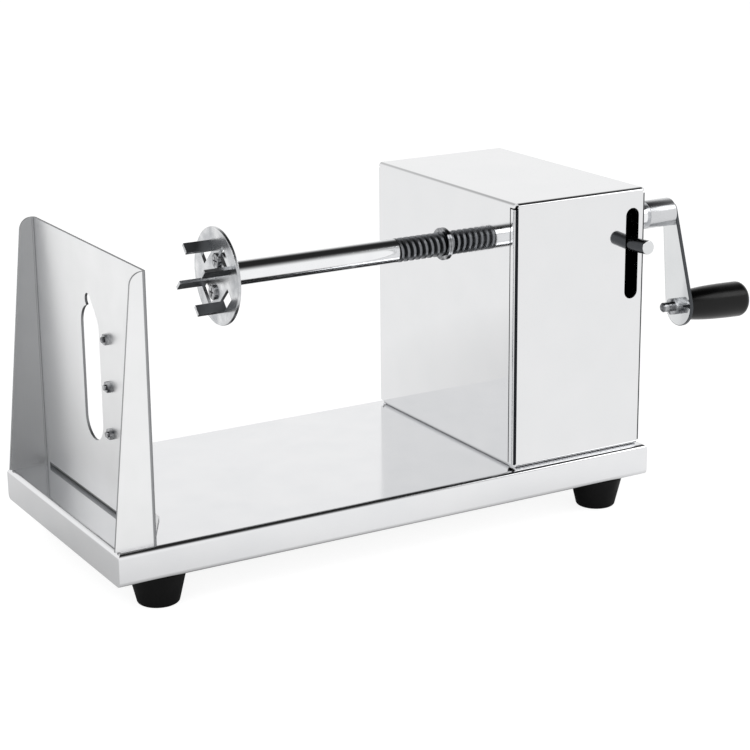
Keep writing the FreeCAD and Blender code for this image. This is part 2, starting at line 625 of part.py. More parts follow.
def thread_slice(x0, grow, widen):
    """One pitch of the lead screw, cut square to the axis at both ends.

    Three turns of crest, flanks and root are ruled between helices, closed at their ends by a
    face down to the axis, and then trimmed to the pitch in the middle.
    """
    major = ROD_R + grow
    root = ROD_R - THREAD_DEPTH + grow
    crest = THREAD_CREST + 2 * widen
    flank = (PITCH - THREAD_CREST - THREAD_ROOT) / 2
    stations = [(-crest / 2, major), (crest / 2, major), (crest / 2 + flank, root),
                (PITCH - crest / 2 - flank, root), (PITCH - crest / 2, major)]
    faces = []
    for k in (-1, 0, 1):
        lines = [helix_turn(x0 + k * PITCH + s, r) for s, r in stations]
        faces += [Part.makeRuledSurface(a, b) for a, b in zip(lines, lines[1:])]
    for k in (-1, 2):
        rim = [V(x0 + k * PITCH + s, r, AXIS_Z) for s, r in stations]
        low = V(rim[0].x, 0, AXIS_Z)
        high = V(rim[-1].x, 0, AXIS_Z)
        centre = Part.LineSegment(low, high).toShape()
        faces.append(Part.makeRuledSurface(helix_turn(rim[0].x, major), centre))
        faces.append(Part.Face(Part.makePolygon([low] + rim + [high, low])))
    shell = Part.makeShell(faces)
    shell.sewShape(SEW)
    reach = 2 * ROD_R
    slab = block(x0, x0 + PITCH, -reach, reach, AXIS_Z - reach, AXIS_Z + reach)
    return Part.Solid(shell.Shells[0]).common(slab)


def screw_solid(x0, turns, grow, widen):
    """A right-hand trapezoidal screw of whole turns.

    grow is added to every radius and widen to each side of the crest, so a cutting shape with
    both positive leaves a running clearance.
    """
    one = thread_slice(x0, grow, widen)
    faces = []
    for face in one.Faces:
        if face.BoundBox.XMax < x0 + SEW:
            faces.append(face)
        elif face.BoundBox.XMin > x0 + PITCH - SEW:
            faces.append(face.translated(V((turns - 1) * PITCH, 0, 0)))
        else:
            faces += [face.translated(V(k * PITCH, 0, 0)) for k in range(turns)]
    shell = Part.makeShell(faces)
    shell.sewShape(SEW)
    return Part.Solid(shell.Shells[0])


def make_spindle_rod():
    """One bar: plain rod, lead screw, plain rod and a spigot welded into the crank arm."""
    screw = screw_solid(THREAD_X0, THREAD_TURNS, 0.0, 0.0)
    screw_end = THREAD_X0 + THREAD_TURNS * PITCH
    left = rod_x(HUB_X, THREAD_X0, 0, AXIS_Z, ROD_R)
    right = rod_x(screw_end, CRANK_X + 1, 0, AXIS_Z, ROD_R).cut(beyond_crank())
    spigot = rod_x(CRANK_X - 1, CRANK_X + CRANK_T, 0, AXIS_Z, SPIGOT_R)
    return left.fuse([screw, right, spigot])


def fork_point(radius, angle):
    """A point about the spindle axis; angle 0 points to the back and 90 points up."""
    a = math.radians(angle)
    return radius * math.cos(a), AXIS_Z + radius * math.sin(a)


def make_fork_disc():
    """Round disc with four tabs folded out of it as prongs."""
    disc = rod_x(FORK_X, HUB_X, 0, AXIS_Z, FORK_R)
    disc = disc.makeFillet(0.5, [e for e in disc.Edges if e.Length > 100])
    half = PRONG_HOLE_L / 2
    out = PRONG_IN_R + PRONG_W
    hole = block(FORK_X - 1, HUB_X + 1, PRONG_IN_R - 0.3, out + 0.3, -half, half - PRONG_T)
    tab = block(FORK_X - PRONG_L, HUB_X, PRONG_IN_R, out, half - PRONG_T, half)
    tip = [e for e in tab.Edges if abs(e.CenterOfMass.x - FORK_X + PRONG_L) < 1e-6]
    tab = tab.makeFillet(0.35, tip)
    bend = [e for e in tab.Edges if abs(e.CenterOfMass.x - HUB_X) < 1e-6
            and abs(e.CenterOfMass.z - half + PRONG_T) < 1e-6]
    tab = tab.makeFillet(1.4, bend)
    axis = V(1, 0, 0)
    for k in range(4):
        for piece, add in ((hole, False), (tab, True)):
            placed = piece.copy()
            placed.translate(V(0, 0, AXIS_Z))
            placed.rotate(V(0, 0, AXIS_Z), axis, FORK_TURN + 90 * k)
            disc = disc.fuse(placed) if add else disc.cut(placed)
    for k in range(2):
        y, z = fork_point(FORK_SCREW_R, FORK_SCREW_TURN + 180 * k)
        disc = disc.cut(rod_x(FORK_X - 1, HUB_X + 1, y, z, 2.5 + GAP))
    return disc.removeSplitter()


def make_fork_hub():
    """Two-eared flange on the rod's end that the disc is screwed to."""
    x0 = HUB_X
    x1 = HUB_X + HUB_T
    hub = link_x(x0, x1, HUB_EAR_R, AXIS_Z + FORK_SCREW_R, HUB_R, AXIS_Z)
    hub = hub.fuse(link_x(x0, x1, HUB_R, AXIS_Z, HUB_EAR_R, AXIS_Z - FORK_SCREW_R)).removeSplitter()
    hub.rotate(V(x0, 0, AXIS_Z), V(1, 0, 0), FORK_SCREW_TURN - 90)
    hub = hub.cut(rod_x(x0 - 1, x1 + 1, 0, AXIS_Z, ROD_R))
    for k in range(2):
        y, z = fork_point(FORK_SCREW_R, FORK_SCREW_TURN + 180 * k)
        hub = hub.cut(rod_x(x0 - 1, x1 + 1, y, z, 2.5 + GAP))
    return hub


def make_fork_screws():
    """Two pan head screws through the disc into the hub."""
    screws = []
    for k in range(2):
        y, z = fork_point(FORK_SCREW_R, FORK_SCREW_TURN + 180 * k)
        screws.append(pan_screw(V(FORK_X, y, z), V(1, 0, 0), 2.5, FORK_T + HUB_T, FORK_HEAD_R, FORK_HEAD_H))
    return screws


# ---------------------------------------------------------------- crank


def crank_place(shape):
    """Turns a shape drawn with the arm hanging straight down to the crank's own pose."""
    hub = V(CRANK_X, 0, AXIS_Z)
    placed = shape.copy()
    placed.rotate(hub, V(0, 1, 0), CRANK_LEAN)
    placed.rotate(hub, V(1, 0, 0), -CRANK_TURN)
    return placed


def beyond_crank():
    """Room on the far side of the crank arm's inner face."""
    return crank_place(block(CRANK_X, CRANK_X + 20, -20, 20, AXIS_Z - 20, AXIS_Z + 20))


def make_crank_boss():
    """Sleeve pressed on the rod's end and welded to the crank arm."""
    boss = ring_x(CRANK_X - BOSS_L, CRANK_X + 1, 0, AXIS_Z, BOSS_R, ROD_R)
    return boss.cut(beyond_crank())


def make_crank_arm():
    """Flat arm that widens from the rod to the grip's bolt."""
    low_z = AXIS_Z - CRANK_L
    x0 = CRANK_X
    x1 = CRANK_X + CRANK_T
    arm = link_x(x0, x1, CRANK_HUB_R, AXIS_Z, CRANK_END_R, low_z).removeSplitter()
    arm = arm.cut(rod_x(x0 - 1, x1 + 1, 0, low_z, GRIP_BOLT_R + GAP))
    arm = crank_place(arm)
    return arm.cut(rod_x(x0 - 2, x1 + 2, 0, AXIS_Z, SPIGOT_R))


def grip_x():
    """Where the grip starts and ends along its own bolt."""
    start = CRANK_X + CRANK_T + WASHER_T + GRIP_GAP
    return start, start + GRIP_L


def make_grip_fasteners():
    """Grip bolt, the nut that locks it on the housing side, and the washer under the grip."""
    z = AXIS_Z - CRANK_L
    outer = CRANK_X + CRANK_T
    end = CRANK_X - GRIP_NUT_H - GRIP_BOLT_OUT
    seat = grip_x()[1] - GRIP_HEAD_IN + GRIP_GAP
    shank = rod_x(end, seat, 0, z, GRIP_BOLT_R)
    tip = [e for e in shank.Edges if abs(e.CenterOfMass.x - end) < 1e-6]
    bolt = shank.makeChamfer(0.7, tip).fuse(rod_x(seat, seat + 3.0, 0, z, 2 * GRIP_BOLT_R))
    bolt = bolt.cut(rod_x(seat + 1.2, seat + 4.0, 0, z, 2.3))
    washer = ring_x(outer, outer + WASHER_T, 0, z, 6.5, GRIP_BOLT_R + GAP)
    nut = hexagon_x(CRANK_X - GRIP_NUT_H, CRANK_X, 0, z, 10.0, GRIP_BOLT_R + GAP)
    return crank_place(bolt), crank_place(nut), crank_place(washer)


def make_grip():
    """Turned plastic grip with its bores, and the domed cap pressed into its end."""
    z = AXIS_Z - CRANK_L
    x0, x1 = grip_x()
    swell = x1 - 5.5
    line = Part.BSplineCurve()
    line.interpolate([V(x0, GRIP_NECK_R, 0), V(x0 + 8.0, GRIP_NECK_R + 1.1, 0), V(x0 + 18.0, GRIP_R - 0.5, 0),
                      V(x0 + 30.0, GRIP_R - 0.05, 0), V(swell, GRIP_R, 0)])
    rim = V(x1 - 1.4, GRIP_R - 3.6, 0)
    dome_r = (rim.y ** 2 + 1.4 ** 2) / (2 * 1.4)
    dome_x = x1 - dome_r + math.sqrt(dome_r ** 2 - rim.y ** 2 / 4)
    edges = [line.toShape(),
             Part.Arc(V(swell, GRIP_R, 0), V(x1 - 2.5, GRIP_R - 1.15, 0), rim).toShape(),
             Part.Arc(rim, V(dome_x, rim.y / 2, 0), V(x1, 0, 0)).toShape(),
             Part.LineSegment(V(x1, 0, 0), V(x0, 0, 0)).toShape(),
             Part.LineSegment(V(x0, 0, 0), V(x0, GRIP_NECK_R, 0)).toShape()]
    body = Part.Face(Part.Wire(edges)).revolve(V(0, 0, 0), V(1, 0, 0), 360)
    body.translate(V(0, 0, z))
    shelf = x1 - GRIP_HEAD_IN / 2
    cap = body.common(rod_x(shelf, x1 + 1, 0, z, GRIP_CAP_R))
    grip = body.cut(rod_x(shelf, x1 + 1, 0, z, GRIP_CAP_R))
    grip = grip.cut(rod_x(x1 - GRIP_HEAD_IN, x1, 0, z, 2 * GRIP_BOLT_R + 0.3))
    grip = grip.cut(rod_x(x0 - 1, x1, 0, z, GRIP_BOLT_R + GRIP_BORE_CLEAR))
    return crank_place(grip), crank_place(cap)


# ---------------------------------------------------------------- bushes and release lever


def add_ring(bush, x):
    """Cuts a ring's groove into a bush at x and makes the open spring ring that sits in it."""
    seat = BUSH_R - RING_GROOVE
    grooved = bush.cut(ring_x(x, x + RING_T, 0, AXIS_Z, BUSH_R + 1, seat))
    ring = ring_x(x, x + RING_T, 0, AXIS_Z, BUSH_R + RING_OUT, seat)
    half = RING_GAP / 2
    gap = block(x - 1, x + RING_T + 1, -half, half, AXIS_Z - BUSH_R - RING_OUT - 1, AXIS_Z)
    return grooved.removeSplitter(), ring.cut(gap)


def make_left_bush():
    """Free-turning guide sleeve in the housing's blade-side wall, with its spring ring."""
    bore = ROD_R + BUSH_BORE_CLEAR
    face = BOX_X0 - BUSH_PLAY / 2
    sleeve = ring_x(face, WALL_L + BUSH_L, 0, AXIS_Z, BUSH_R, bore)
    flange = ring_x(face - BUSH_LIP, face, 0, AXIS_Z, BUSH_R + BUSH_LIP, bore)
    return add_ring(sleeve.fuse(flange), WALL_L + BUSH_PLAY / 2)


def make_right_bush():
    """Fixed flanged guide bush in the crank-side wall, with its spring ring."""
    bore = ROD_R + BUSH_BORE_CLEAR
    sleeve = ring_x(WALL_R - BUSH_IN, BOX_X1, 0, AXIS_Z, BUSH_R, bore)
    flange = ring_x(BOX_X1, BOX_X1 + 2.0, 0, AXIS_Z, BUSH_R + BUSH_FLANGE, bore)
    return add_ring(sleeve.fuse(flange), WALL_R - RING_T)


def pin_line(y):
    """Height of the release pin's axis at a given Y."""
    return AXIS_Z + PIN_RISE - (y + BOX_Y) * math.tan(math.radians(PIN_TILT))


def lever_top(y):
    """Height of the lever's upper edge in front of the screw."""
    return pin_line(y) + LEVER_H / 2


def make_lever_arm():
    """Flat lever that dips under the screw and carries the half nut and the release pin."""
    half = LEVER_H / 2
    dip = BUSH_R + LEVER_DIP
    dip_z = AXIS_Z - dip
    low = dip_z - LEVER_H
    front = -BOX_Y + LEVER_FRONT_IN
    back = PIVOT_Y + half
    top = PIVOT_Z + half
    outline = [(back, top, half * 0.99), (dip, top, 4.0), (dip, dip_z, 6.0),
               (-dip, dip_z, 6.0), (-dip, lever_top(-dip), 4.0),
               (front, lever_top(front), 3.0), (front, lever_top(front) - LEVER_H, 3.0),
               (-dip - 10, lever_top(-dip - 10) - LEVER_H, 6.0), (-dip - 8, low, 8.0),
               (dip + 8, low, 8.0), (dip + 10, PIVOT_Z - half, 6.0),
               (back, PIVOT_Z - half, half * 0.99)]
    arm = prism_x(outline, LEVER_X0, LEVER_X1)
    holes = [(PIVOT_Y, PIVOT_Z, PIVOT_R + PIVOT_CLEAR), (SPRING_Y, spring_ends()[0], SPRING_HOLE_R)]
    holes += [(y, z, 2.0 + GAP) for y, z in nut_screw_places()]
    for y, z, r in holes:
        arm = arm.cut(rod_x(LEVER_X0 - 1, LEVER_X1 + 1, y, z, r))
    return arm


def nut_screw_places():
    """Screws that hold the half nut to the lever."""
    z = AXIS_Z - BUSH_R - LEVER_DIP - LEVER_H / 2
    return [(-NUT_SCREW_Y, z), (NUT_SCREW_Y, z)]


def make_half_nut():
    """Block under the screw with half a thread, screwed to the lever's side."""
    low = AXIS_Z - BUSH_R - LEVER_DIP - LEVER_H + 1.0
    nut = block(NUT_X0, LEVER_X0, -NUT_W / 2, NUT_W / 2, low, AXIS_Z - 1.0)
    behind = PITCH * math.floor((NUT_X0 - THREAD_X0) / PITCH - 0.5)
    turns = int(NUT_L / PITCH) + 2
    nut = nut.cut(screw_solid(THREAD_X0 + behind, turns, NUT_CLEAR, NUT_CLEAR))
    for y, z in nut_screw_places():
        nut = nut.cut(rod_x(LEVER_X0 - NUT_SCREW_L, LEVER_X0 + 1, y, z, 2.0 + GAP))
    return nut


def make_nut_screws():
    """Two screws from the lever's crank side into the half nut."""
    screws = []
    for y, z in nut_screw_places():
        screws.append(pan_screw(V(LEVER_X1, y, z), V(-1, 0, 0), 2.0, LEVER_T + NUT_SCREW_L - 1, 3.8, 2.4))
    return screws


def make_release_pin(arm):
    """Round pin, slit over the lever's front end and welded to it, out through the slot."""
    tilt = math.radians(PIN_TILT)
    y0 = -BOX_Y + 20.0
    direction = V(0, -math.cos(tilt), math.sin(tilt))
    start = V(SLOT_X, y0, pin_line(y0))
    length = (y0 + BOX_Y + PIN_OUT) / math.cos(tilt)
    far = start + direction * length
    pin = Part.makeCylinder(PIN_R, length, start, direction)
    pin = pin.makeFillet(0.5, [e for e in pin.Edges if e.CenterOfMass.distanceToPoint(far) < 1e-3])
    return pin.cut(arm)


def make_pivot():
    """Shoulder bolt and nut that the lever turns on, through the bracket's ear."""
    x0, x1 = bracket_ear_x()
    head = LEVER_X1 + PIVOT_END_PLAY
    nut_h = 5.0
    bolt = rod_x(x0 - nut_h - 1.0, x1, PIVOT_Y, PIVOT_Z, 3.0)
    bolt = bolt.fuse(rod_x(x1, head, PIVOT_Y, PIVOT_Z, PIVOT_R))
    bolt = bolt.fuse(rod_x(head, head + 2.4, PIVOT_Y, PIVOT_Z, 6.5))
    slit = block(head + 1.2, head + 3, PIVOT_Y - 7, PIVOT_Y + 7, PIVOT_Z - 0.6, PIVOT_Z + 0.6)
    nut = hexagon_x(x0 - nut_h, x0, PIVOT_Y, PIVOT_Z, 10.0, 3.0 + GAP)
    return bolt.removeSplitter().cut(slit), nut


def make_bracket():
    """Folded bracket: a foot on the base and an upright ear beside the lever."""
    x0, x1 = bracket_ear_x()
    path = [(x0 - BRACKET_FOOT, TOP), (x1, TOP), (x1, PIVOT_Z + BRACKET_RISE)]
    bracket = prism_y(strip(path, BRACKET_T, BRACKET_T + 1.5, 1), BRACKET_Y0, BRACKET_Y1)
    taper = [(BRACKET_Y0, TOP - 1, 0.0), (BRACKET_Y1, TOP - 1, 0.0), (BRACKET_Y1, PIVOT_Z + BRACKET_RISE, 5.0),
             (PIVOT_Y - 10.0, PIVOT_Z + BRACKET_RISE, 5.0), (BRACKET_Y0, TOP + BRACKET_LOW, 0.0)]
    bracket = bracket.common(prism_x(taper, x0 - BRACKET_FOOT - 1, x1 + 1))
    bracket = bracket.cut(rod_x(x0 - 1, x1 + 1, PIVOT_Y, PIVOT_Z, 3.0 + GAP))
    for x, y in bracket_screw_places():
        bracket = bracket.cut(rod_z(x, y, TOP - 1, TOP + BRACKET_T + 1, 2.0 + GAP))
    return bracket


def spring_ends():
    """Heights of the spring holes in the lever and in the hanger."""
    return lever_top(SPRING_Y) - SPRING_HOLE_IN, BOX_TOP - HANGER_LOW - BOX_T + SPRING_HOLE_IN


def make_spring_hanger():
    """Small angle welded under the housing's top for the spring's upper hook."""
    x1 = SLOT_X + HANGER_T / 2
    top = BOX_TOP - BOX_T
    path = [(x1 - HANGER_L, top), (x1, top), (x1, top - HANGER_LOW)]
    outline = strip(path, HANGER_T, 2 * HANGER_T, -1)
    hanger = prism_y(outline, SPRING_Y - HANGER_HALF, SPRING_Y + HANGER_HALF)
    return hanger.cut(rod_x(x1 - HANGER_T - 1, x1 + 1, SPRING_Y, spring_ends()[1], SPRING_HOLE_R))


def make_return_spring():
    """Tension spring between lever and hanger, a coil with a half loop at each end."""
    low, high = spring_ends()
    start = low + SPRING_R + SPRING_LEG
    length = high - low - 2 * (SPRING_R + SPRING_LEG)
    turns = round(length / SPRING_PITCH)
    helix = Part.makeHelix(length / turns, length, SPRING_R)
    wire = Part.Wire(helix.Edges)
    helix_start = V(SPRING_R, 0, 0)
    rise = V(0, 2 * math.pi * SPRING_R, length / turns)
    ring = Part.Wire([Part.Circle(helix_start, rise, SPRING_WIRE_R).toShape()])
    spring = wire.makePipeShell([ring], True, True)
    spring.translate(V(SLOT_X, SPRING_Y, start))
    for eye, flip in ((low, 1), (high, -1)):
        centre = V(SLOT_X, SPRING_Y, eye + flip * SPRING_R)
        loop = Part.makeTorus(SPRING_R, SPRING_WIRE_R, centre, V(0, 1, 0))
        cut_z = sorted((centre.z, centre.z + flip * 2 * SPRING_R))
        loop = loop.cut(block(centre.x - 9, centre.x + 9, centre.y - 9, centre.y + 9, cut_z[0], cut_z[1]))
        for side in (-1, 1):
            ends = sorted((centre.z, centre.z + flip * SPRING_LEG))
            loop = loop.fuse(rod_z(centre.x + side * SPRING_R, SPRING_Y, ends[0], ends[1], SPRING_WIRE_R))
        spring = spring.fuse(loop)
    return spring


def make_all():
    """Every piece by name; a list is a group of like fasteners."""
    lever = make_lever_arm()
    pieces = {"base_pan": make_base_pan()}
    pieces.update(make_feet())
    pieces["foot_screws"], pieces["foot_washers"], pieces["foot_nuts"] = make_foot_fasteners()
    pieces["blade_plate"] = make_blade_plate()
    pieces["plate_screws"], pieces["plate_nuts"] = make_deck_fasteners(plate_screw_places(), PLATE_T)
    pieces["blade"] = make_blade()
    pieces["blade_screws"], pieces["blade_nuts"] = make_blade_fasteners()
    pieces["housing_cover"] = make_housing_cover()
    pieces["cover_screws"], pieces["cover_nuts"] = make_deck_fasteners(cover_screw_places(), BOX_T)
    pieces["left_bush"], pieces["left_bush_ring"] = make_left_bush()
    pieces["right_bush"], pieces["right_bush_ring"] = make_right_bush()
    pieces["spindle_rod"] = make_spindle_rod()
    pieces["fork_hub"] = make_fork_hub()
    pieces["fork_disc"] = make_fork_disc()
    pieces["fork_screws"] = make_fork_screws()
    pieces["crank_boss"] = make_crank_boss()
    pieces["crank_arm"] = make_crank_arm()
    pieces["grip_bolt"], pieces["grip_nut"], pieces["grip_washer"] = make_grip_fasteners()
    pieces["grip"], pieces["grip_cap"] = make_grip()
    pieces["lever_arm"] = lever
    pieces["release_pin"] = make_release_pin(lever)
    pieces["half_nut"] = make_half_nut()
    pieces["half_nut_screws"] = make_nut_screws()
    pieces["lever_bracket"] = make_bracket()
    pieces["bracket_screws"], pieces["bracket_nuts"] = make_deck_fasteners(bracket_screw_places(), BRACKET_T)
    pieces["pivot_bolt"], pieces["pivot_nut"] = make_pivot()
    pieces["spring_hanger"] = make_spring_hanger()
    pieces["return_spring"] = make_return_spring()
    return pieces


def export_all(pieces):
    """Centre the whole part over the origin and write one file for each piece."""
    os.makedirs("parts", exist_ok=True)
    shapes = {}
    for name, piece in pieces.items():
        shapes[name] = Part.makeCompound(piece) if isinstance(piece, list) else piece
    extent = Part.makeCompound(list(shapes.values())).optimalBoundingBox(False, False)
    shift = V(-extent.Center.x, -extent.Center.y, 0)
    for name, shape in shapes.items():
        shape.translate(shift)
        shape.exportStep(os.path.join("parts", name + ".step"))


export_all(make_all())
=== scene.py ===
"""Visual model of a hand cranked spiral potato cutter in folded stainless sheet.

The CAD frame gives every node's place.  The lead screw, the crank's sleeve, the grip with its
cap and the rubber feet are built here as smooth surfaces.  The folded sheets, the fork, the
crank arm and the release pin are cleaned copies of their CAD nodes; all of these but the base
carry marks where they are painted darker: partly duller cut edges, partly painted shade and
painted reflection.  Every other piece, the fasteners among them, keeps its CAD shape and gets a
finish.
"""

import logging
import math
from dataclasses import dataclass
from enum import Enum
from typing import Iterable, Sequence

import bmesh
import bpy
import numpy as np
from mathutils import Matrix, Vector


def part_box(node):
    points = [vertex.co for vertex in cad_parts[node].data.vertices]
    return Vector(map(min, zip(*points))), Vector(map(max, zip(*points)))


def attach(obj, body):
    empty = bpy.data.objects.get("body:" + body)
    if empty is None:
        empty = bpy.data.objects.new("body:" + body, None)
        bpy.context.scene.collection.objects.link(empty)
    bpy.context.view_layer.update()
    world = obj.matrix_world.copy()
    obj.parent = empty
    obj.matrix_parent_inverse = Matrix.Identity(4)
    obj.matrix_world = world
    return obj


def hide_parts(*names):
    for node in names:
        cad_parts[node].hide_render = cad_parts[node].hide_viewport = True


LOG = logging.getLogger("cutter")
MM = 0.001
TAU = 2.0 * math.pi

Piece = bpy.types.Object
Material = bpy.types.Material
Tree = bpy.types.NodeTree
Node = bpy.types.Node
Socket = bpy.types.NodeSocket

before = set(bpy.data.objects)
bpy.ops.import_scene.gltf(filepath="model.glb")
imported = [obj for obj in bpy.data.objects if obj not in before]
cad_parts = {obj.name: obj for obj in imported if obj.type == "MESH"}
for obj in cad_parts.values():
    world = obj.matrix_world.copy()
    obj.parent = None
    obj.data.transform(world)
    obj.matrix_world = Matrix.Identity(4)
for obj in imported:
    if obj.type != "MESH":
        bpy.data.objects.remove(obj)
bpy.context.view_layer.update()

# ---------------------------------------------------------------- sizes shared by sub-assemblies
AXIS = 153.5              # spindle axis above the table
HALF_BASE = 80.0          # half the base's width
BAR_R = 7.0               # lead screw's bar
BAR_END = 409.5           # where the bar ends, on the crank arm's inner face

# ---------------------------------------------------------------- how meshes are cleaned
WELD = 0.002              # points of a new surface nearer than this become one
CAD_WELD = 0.001          # the same for a CAD node
FLAT_WITHIN = 0.3         # a CAD node's faces that turn by fewer degrees are joined
CREASE = 32.0             # edges that turn by more degrees stay sharp
SOFT_CREASE = 40.0        # the same once the edges are softened
SOFT_FROM = 50.0          # edges that turn by more degrees are softened
SOFT_ROWS = 2             # rows of faces in a softened edge
FLAT_WEIGHT = 80          # how far large faces rule the normals beside them


class Axis(Enum):
    """Direction of a turned piece or of a finish's lines."""

    X = 0
    Y = 1
    Z = 2


def datum() -> Vector:
    """Frame position, in metres, of the base's left end on the spindle's plane at table height."""
    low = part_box("base_pan")[0]
    return Vector((low.x, low.y + HALF_BASE * MM, 0.0))


ORIGIN = datum()


# ---------------------------------------------------------------- mesh helpers
def to_frame(points: np.ndarray) -> np.ndarray:
    """Turns millimetres from the datum into metres in the CAD frame.

    Args:
        points: rows of x, y, z.

    Returns:
        The same rows in metres.
    """
    return np.asarray(points, float) * MM + np.array(ORIGIN)


def grid_faces(rows: int, cols: int) -> list[tuple[int, ...]]:
    """Quads of a rows by cols grid of points stored row by row.

    Args:
        rows: number of point rows.
        cols: number of points in a row.

    Returns:
        Index tuples.
    """
    index = np.arange(rows * cols).reshape(rows, cols)
    quads = np.stack([index[:-1, :-1], index[:-1, 1:], index[1:, 1:], index[1:, :-1]], axis=-1)
    return [tuple(q) for q in quads.reshape(-1, 4).tolist()]


def new_object(name: str, data: bpy.types.ID) -> Piece:
    """Makes an object of its data and puts it in the scene."""
    made = bpy.data.objects.new(name, data)
    bpy.context.scene.collection.objects.link(made)
    return made


class Builder:
    """Collects surfaces in millimetres and makes one object of them."""

    def __init__(self, name: str) -> None:
        """Starts an empty piece with a name."""
        self.name = name
        self.points: list[np.ndarray] = []
        self.faces: list[tuple[int, ...]] = []
        self.count = 0

    def add(self, points: np.ndarray, faces: Iterable[tuple[int, ...]]) -> "Builder":
        """Adds points and faces; the faces index the points given here."""
        points = np.asarray(points, float).reshape(-1, 3)
        self.faces += [tuple(i + self.count for i in f) for f in faces]
        self.points.append(points)
        self.count += len(points)
        return self

    def grid(self, points: np.ndarray) -> "Builder":
        """Adds a rows by cols by 3 grid of points as quads."""
        return self.add(points, grid_faces(*points.shape[:2]))

    def build(self) -> Piece:
        """Makes the object, welds its seams and points its faces outwards.

        Returns:
            The new object, at the frame's origin.
        """
        mesh = bpy.data.meshes.new(self.name)
        mesh.from_pydata(to_frame(np.concatenate(self.points)).tolist(), [], self.faces)
        made = bmesh.new()
        made.from_mesh(mesh)
        bmesh.ops.remove_doubles(made, verts=made.verts, dist=WELD * MM)
        loose = [v for v in made.verts if not v.link_faces]
        bmesh.ops.delete(made, geom=loose, context="VERTS")
        bmesh.ops.recalc_face_normals(made, faces=made.faces)
        made.to_mesh(mesh)
        made.free()
        return new_object(self.name, mesh)


def modifier(piece: Piece, kind: str, **settings: object) -> bpy.types.Modifier:
    """Adds a modifier with its settings and returns it."""
    made = piece.modifiers.new(kind.title(), kind)
    for key, value in settings.items():
        setattr(made, key, value)
    return made


def apply_modifiers(piece: Piece) -> Piece:
    """Replaces the piece's mesh by what its modifiers make of it."""
    graph = bpy.context.evaluated_depsgraph_get()
    mesh = bpy.data.meshes.new_from_object(piece.evaluated_get(graph))
    piece.modifiers.clear()
    old = piece.data
    piece.data = mesh
    bpy.data.meshes.remove(old)
    return piece


def shade(piece: Piece, sharp: float = CREASE) -> Piece:
    """Smooths the piece, but for edges that turn by more than sharp degrees."""
    made = bmesh.new()
    made.from_mesh(piece.data)
    limit = math.radians(sharp)
    for face in made.faces:
        face.smooth = True
    for edge in made.edges:
        edge.smooth = len(edge.link_faces) == 2 and edge.calc_face_angle(0.0) < limit
    made.to_mesh(piece.data)
    made.free()
    return piece


def weigh_normals(piece: Piece) -> Piece:
    """Keeps the piece's flats flat: large faces rule the normals that they share."""
    modifier(piece, "WEIGHTED_NORMAL", keep_sharp=True, weight=FLAT_WEIGHT)
    return apply_modifiers(piece)


def soften(piece: Piece, width: float) -> Piece:
    """Rounds the piece's edges by a width in millimetres and keeps its flats flat."""
    modifier(piece, "BEVEL", width=width * MM, segments=SOFT_ROWS, limit_method="ANGLE",
             angle_limit=math.radians(SOFT_FROM), harden_normals=False, use_clamp_overlap=True)
    apply_modifiers(piece)
    shade(piece, SOFT_CREASE)
    return weigh_normals(piece)


def rounded(corners: Sequence[tuple[float, float, float]], steps: int = 6) -> np.ndarray:
    """An open path through corners, each rounded by an arc that is tangent to both its sides.

    Args:
        corners: rows of a, b, radius; the first and last stay as they are.
        steps: segments in each arc.

    Returns:
        Rows of a, b along the path.
    """
    path: list[np.ndarray] = []
    for i, (a, b, r) in enumerate(corners):
        here = np.array([a, b])
        if r <= 0 or i in (0, len(corners) - 1):
            path.append(here[None])
            continue
        back = np.array(corners[i - 1][:2]) - here
        ahead = np.array(corners[i + 1][:2]) - here
        back /= np.linalg.norm(back)
        ahead /= np.linalg.norm(ahead)
        half = math.acos(float(np.clip(back @ ahead, -1, 1))) / 2
        middle = here + (back + ahead) / np.linalg.norm(back + ahead) * r / math.sin(half)
        start = here + back * r / math.tan(half) - middle
        end = here + ahead * r / math.tan(half) - middle
        sweep = math.pi - 2 * half
        t = np.linspace(0, 1, steps + 1)[:, None]
        arc = (np.sin((1 - t) * sweep) * start + np.sin(t * sweep) * end) / math.sin(sweep)
        path.append(middle + arc)
    return np.concatenate(path)


def turned(name: str, profile: np.ndarray, centre: Sequence[float], axis: Axis,
           segments: int = 72) -> Builder:
    """A profile turned about an axis: each point goes round at its own radius.

    Args:
        name: the piece's name.
        profile: rows of distance along the axis and radius; a radius of 0 closes a pole.
        centre: a point on the axis, in millimetres.
        axis: the direction of the axis.
        segments: points round a full turn.

    Returns:
        A builder with the closed or open surface.
    """
    angle = np.linspace(0, TAU, segments + 1)
    along = np.repeat(profile[:, :1], segments + 1, axis=1)
    u = profile[:, 1:] * np.cos(angle)
    v = profile[:, 1:] * np.sin(angle)
    order = {Axis.X: (along, u, v), Axis.Y: (v, along, u), Axis.Z: (u, v, along)}[axis]
    points = np.stack(order, axis=-1) + np.array(centre, float)
    return Builder(name).grid(points)


# ---------------------------------------------------------------- materials
def linear(colour: str) -> tuple[float, float, float, float]:
    """A colour written as sRGB hex, in linear light with alpha 1."""
    parts = [int(colour[i:i + 2], 16) / 255 for i in (1, 3, 5)]
    return (*[p / 12.92 if p <= 0.04045 else ((p + 0.055) / 1.055) ** 2.4 for p in parts], 1.0)


MIX_FIRST, MIX_SECOND, MIX_RESULT = 6, 7, 2    # a Mix node's colour sockets
DRAWN_OUT = 0.02                               # stretch of noise along a metal's lines
LINE_DETAIL = 3.0                              # detail of the noise that draws those lines
WORN = (0.12, 0.42)                            # range of lines times clouds that sets roughness


